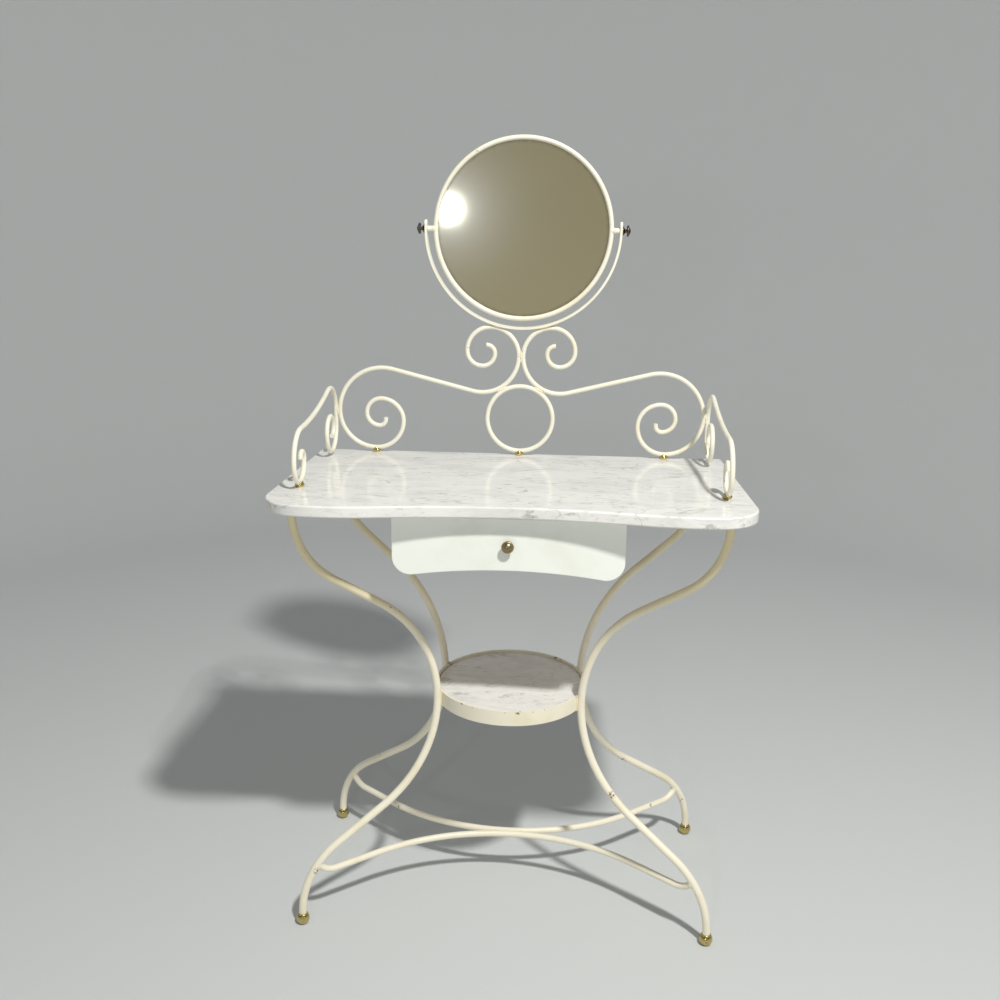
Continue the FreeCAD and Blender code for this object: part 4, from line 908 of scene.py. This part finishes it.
@dataclass
class SwivelMirror(SubAssembly):
    """The round mirror, its yoke and thumb screws, with the welds of the yoke and of the pivots."""

    prefixes: tuple[str, ...] = ("mirror_", "thumb_screw_")
    back_y: float = GALLERY_Y
    yoke_touch: Pair = (40.8 * MM, 976.2 * MM)
    yoke_line: Pair = (0.9702, 0.2422)
    yoke_length: float = 18 * MM
    yoke_depth: float = 2.6 * MM
    yoke_bead: float = 1.7 * MM
    boss_root: Pair = (154.3 * MM, 1139.68 * MM)
    boss_radius: float = 4.75 * MM
    boss_bead: float = 0.9 * MM

    def finish_of(self, node: str) -> Finish:
        """Darkens the bronze of the thumb screws."""
        return DARK_BRONZE if self.slots[node] is Slot.BRONZE else super().finish_of(node)

    def build(self) -> None:
        """Makes the welds under the yoke, and round the pivot bosses on the ring."""
        yoke = WeldRun()
        bosses = WeldRun()
        for side in Side:
            touch = on_side(side, self.yoke_touch, self.back_y)
            line = on_side(side, self.yoke_line, 0)
            yoke.valley(touch, line, self.yoke_length, self.yoke_depth, self.yoke_bead)
            root = on_side(side, self.boss_root, self.back_y)
            bosses.ring(root, ACROSS, self.boss_radius, self.boss_bead)
        yoke.finish("yoke_welds", self.palette.material(WELD_PAINT), Body.TABLE)
        bosses.finish("boss_welds", self.palette.material(WELD_PAINT), Body.MIRROR)


@dataclass(frozen=True)
class Lamp:
    """A round soft lamp that faces the table."""

    name: str
    place: Triple
    power: float  # watts
    size: float
    color: str
    aim: Triple = (0.0, 0.0, 0.7)

    def hang(self) -> None:
        """Hangs the lamp in its place."""
        data = bpy.data.lights.new(self.name, "AREA")
        data.shape = "DISK"
        data.energy = self.power
        data.size = self.size
        data.color = srgb(self.color)[:3]
        lamp = bpy.data.objects.new(self.name, data)
        lamp.location = self.place
        lamp.rotation_euler = (Vector(self.aim) - Vector(self.place)).to_track_quat("-Z", "Y").to_euler()
        bpy.context.collection.objects.link(lamp)


@dataclass
class Studio:
    """Floor, lamps and camera, with the camera and the main lamp placed as in the photograph."""

    paper: BackgroundPaper = BackgroundPaper()
    radius: float = 3.5
    bend: float = 1.2
    wall: float = 3.0
    bend_steps: int = 24
    round_steps: int = 96
    key: Lamp = Lamp("key", (1.0, -1.65, 3.2), power=100.0, size=0.22, color="#FDFDF8")
    fill: Lamp = Lamp("fill", (-0.44, -2.6, 1.205), power=4.8, size=0.085, color="#EAF3FF")
    surround: str = "#F1F2F3"
    surround_strength: float = 0.25
    eye: Triple = (0.07849, -1.65927, 1.15069)
    yaw: float = 3.4698  # degrees, as are the next two
    pitch: float = 14.7871
    roll: float = 0.7776
    lens: float = 37.806
    sensor: float = 36.0

    def floor(self) -> None:
        """Lays a round floor of paper that curves up to a wall on all sides."""
        mesh = bmesh.new()
        flat = self.radius - self.bend
        foot = mesh.verts.new((flat, 0, 0))
        arc = bmesh.ops.spin(mesh, geom=[foot], cent=(flat, 0, self.bend), axis=-BACK, angle=math.pi / 2,
                             steps=self.bend_steps)
        top = [item for item in arc["geom_last"] if isinstance(item, bmesh.types.BMVert)]
        raised = bmesh.ops.extrude_vert_indiv(mesh, verts=top)["verts"]
        bmesh.ops.translate(mesh, verts=raised, vec=UP * self.wall)
        middle = bmesh.ops.extrude_vert_indiv(mesh, verts=[foot])["verts"]
        bmesh.ops.translate(mesh, verts=middle, vec=ACROSS * -flat)
        bmesh.ops.spin(mesh, geom=mesh.verts[:] + mesh.edges[:], cent=(0, 0, 0), axis=UP, angle=FULL_TURN,
                       steps=self.round_steps, use_merge=True)
        piece = make_piece("floor", mesh, self.paper.build(), MM)

    def lamps(self) -> None:
        """Sets a key at the upper right, a small fill at the left and a pale surround."""
        self.key.hang()
        self.fill.hang()
        world = bpy.data.worlds.new("surround")
        world.use_nodes = True
        world.node_tree.nodes.clear()
        sky = add_node(world.node_tree, "Background", {"Color": srgb(self.surround),
                                                       "Strength": self.surround_strength})
        add_node(world.node_tree, "OutputWorld", {"Surface": sky})
        bpy.context.scene.world = world

    def camera(self) -> None:
        """Stands the camera where the photograph was taken from."""
        data = bpy.data.cameras.new("camera")
        data.sensor_width = self.sensor
        data.lens = self.lens
        data.dof.use_dof = False
        camera = bpy.data.objects.new("camera", data)
        turn = (Matrix.Rotation(math.radians(self.yaw), 4, "Z")
                @ Matrix.Rotation(math.radians(90 - self.pitch), 4, "X")
                @ Matrix.Rotation(math.radians(self.roll), 4, "Z"))
        camera.matrix_world = Matrix.Translation(self.eye) @ turn
        bpy.context.collection.objects.link(camera)
        bpy.context.scene.camera = camera

    def build(self) -> None:
        """Sets the whole studio."""
        self.floor()
        self.lamps()
        self.camera()
        bpy.context.scene.view_settings.view_transform = "Standard"
        LOG.info("studio set")


def main() -> None:
    """Loads the frame, dresses and welds each group of pieces, and sets the studio."""
    logging.basicConfig(level=logging.INFO, format="%(message)s")
    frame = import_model()
    slots = {part["node"]: Slot(part["material_slot"]) for part in frame["record"]["subparts"]}
    palette = Palette()
    for kind in (MarbleTop, Stand, Shelf, Drawer, Gallery, SwivelMirror):
        group = kind(frame["nodes"], slots, palette)
        group.dress()
        group.build()
    Studio().build()


if __name__ == "__main__":
    main()
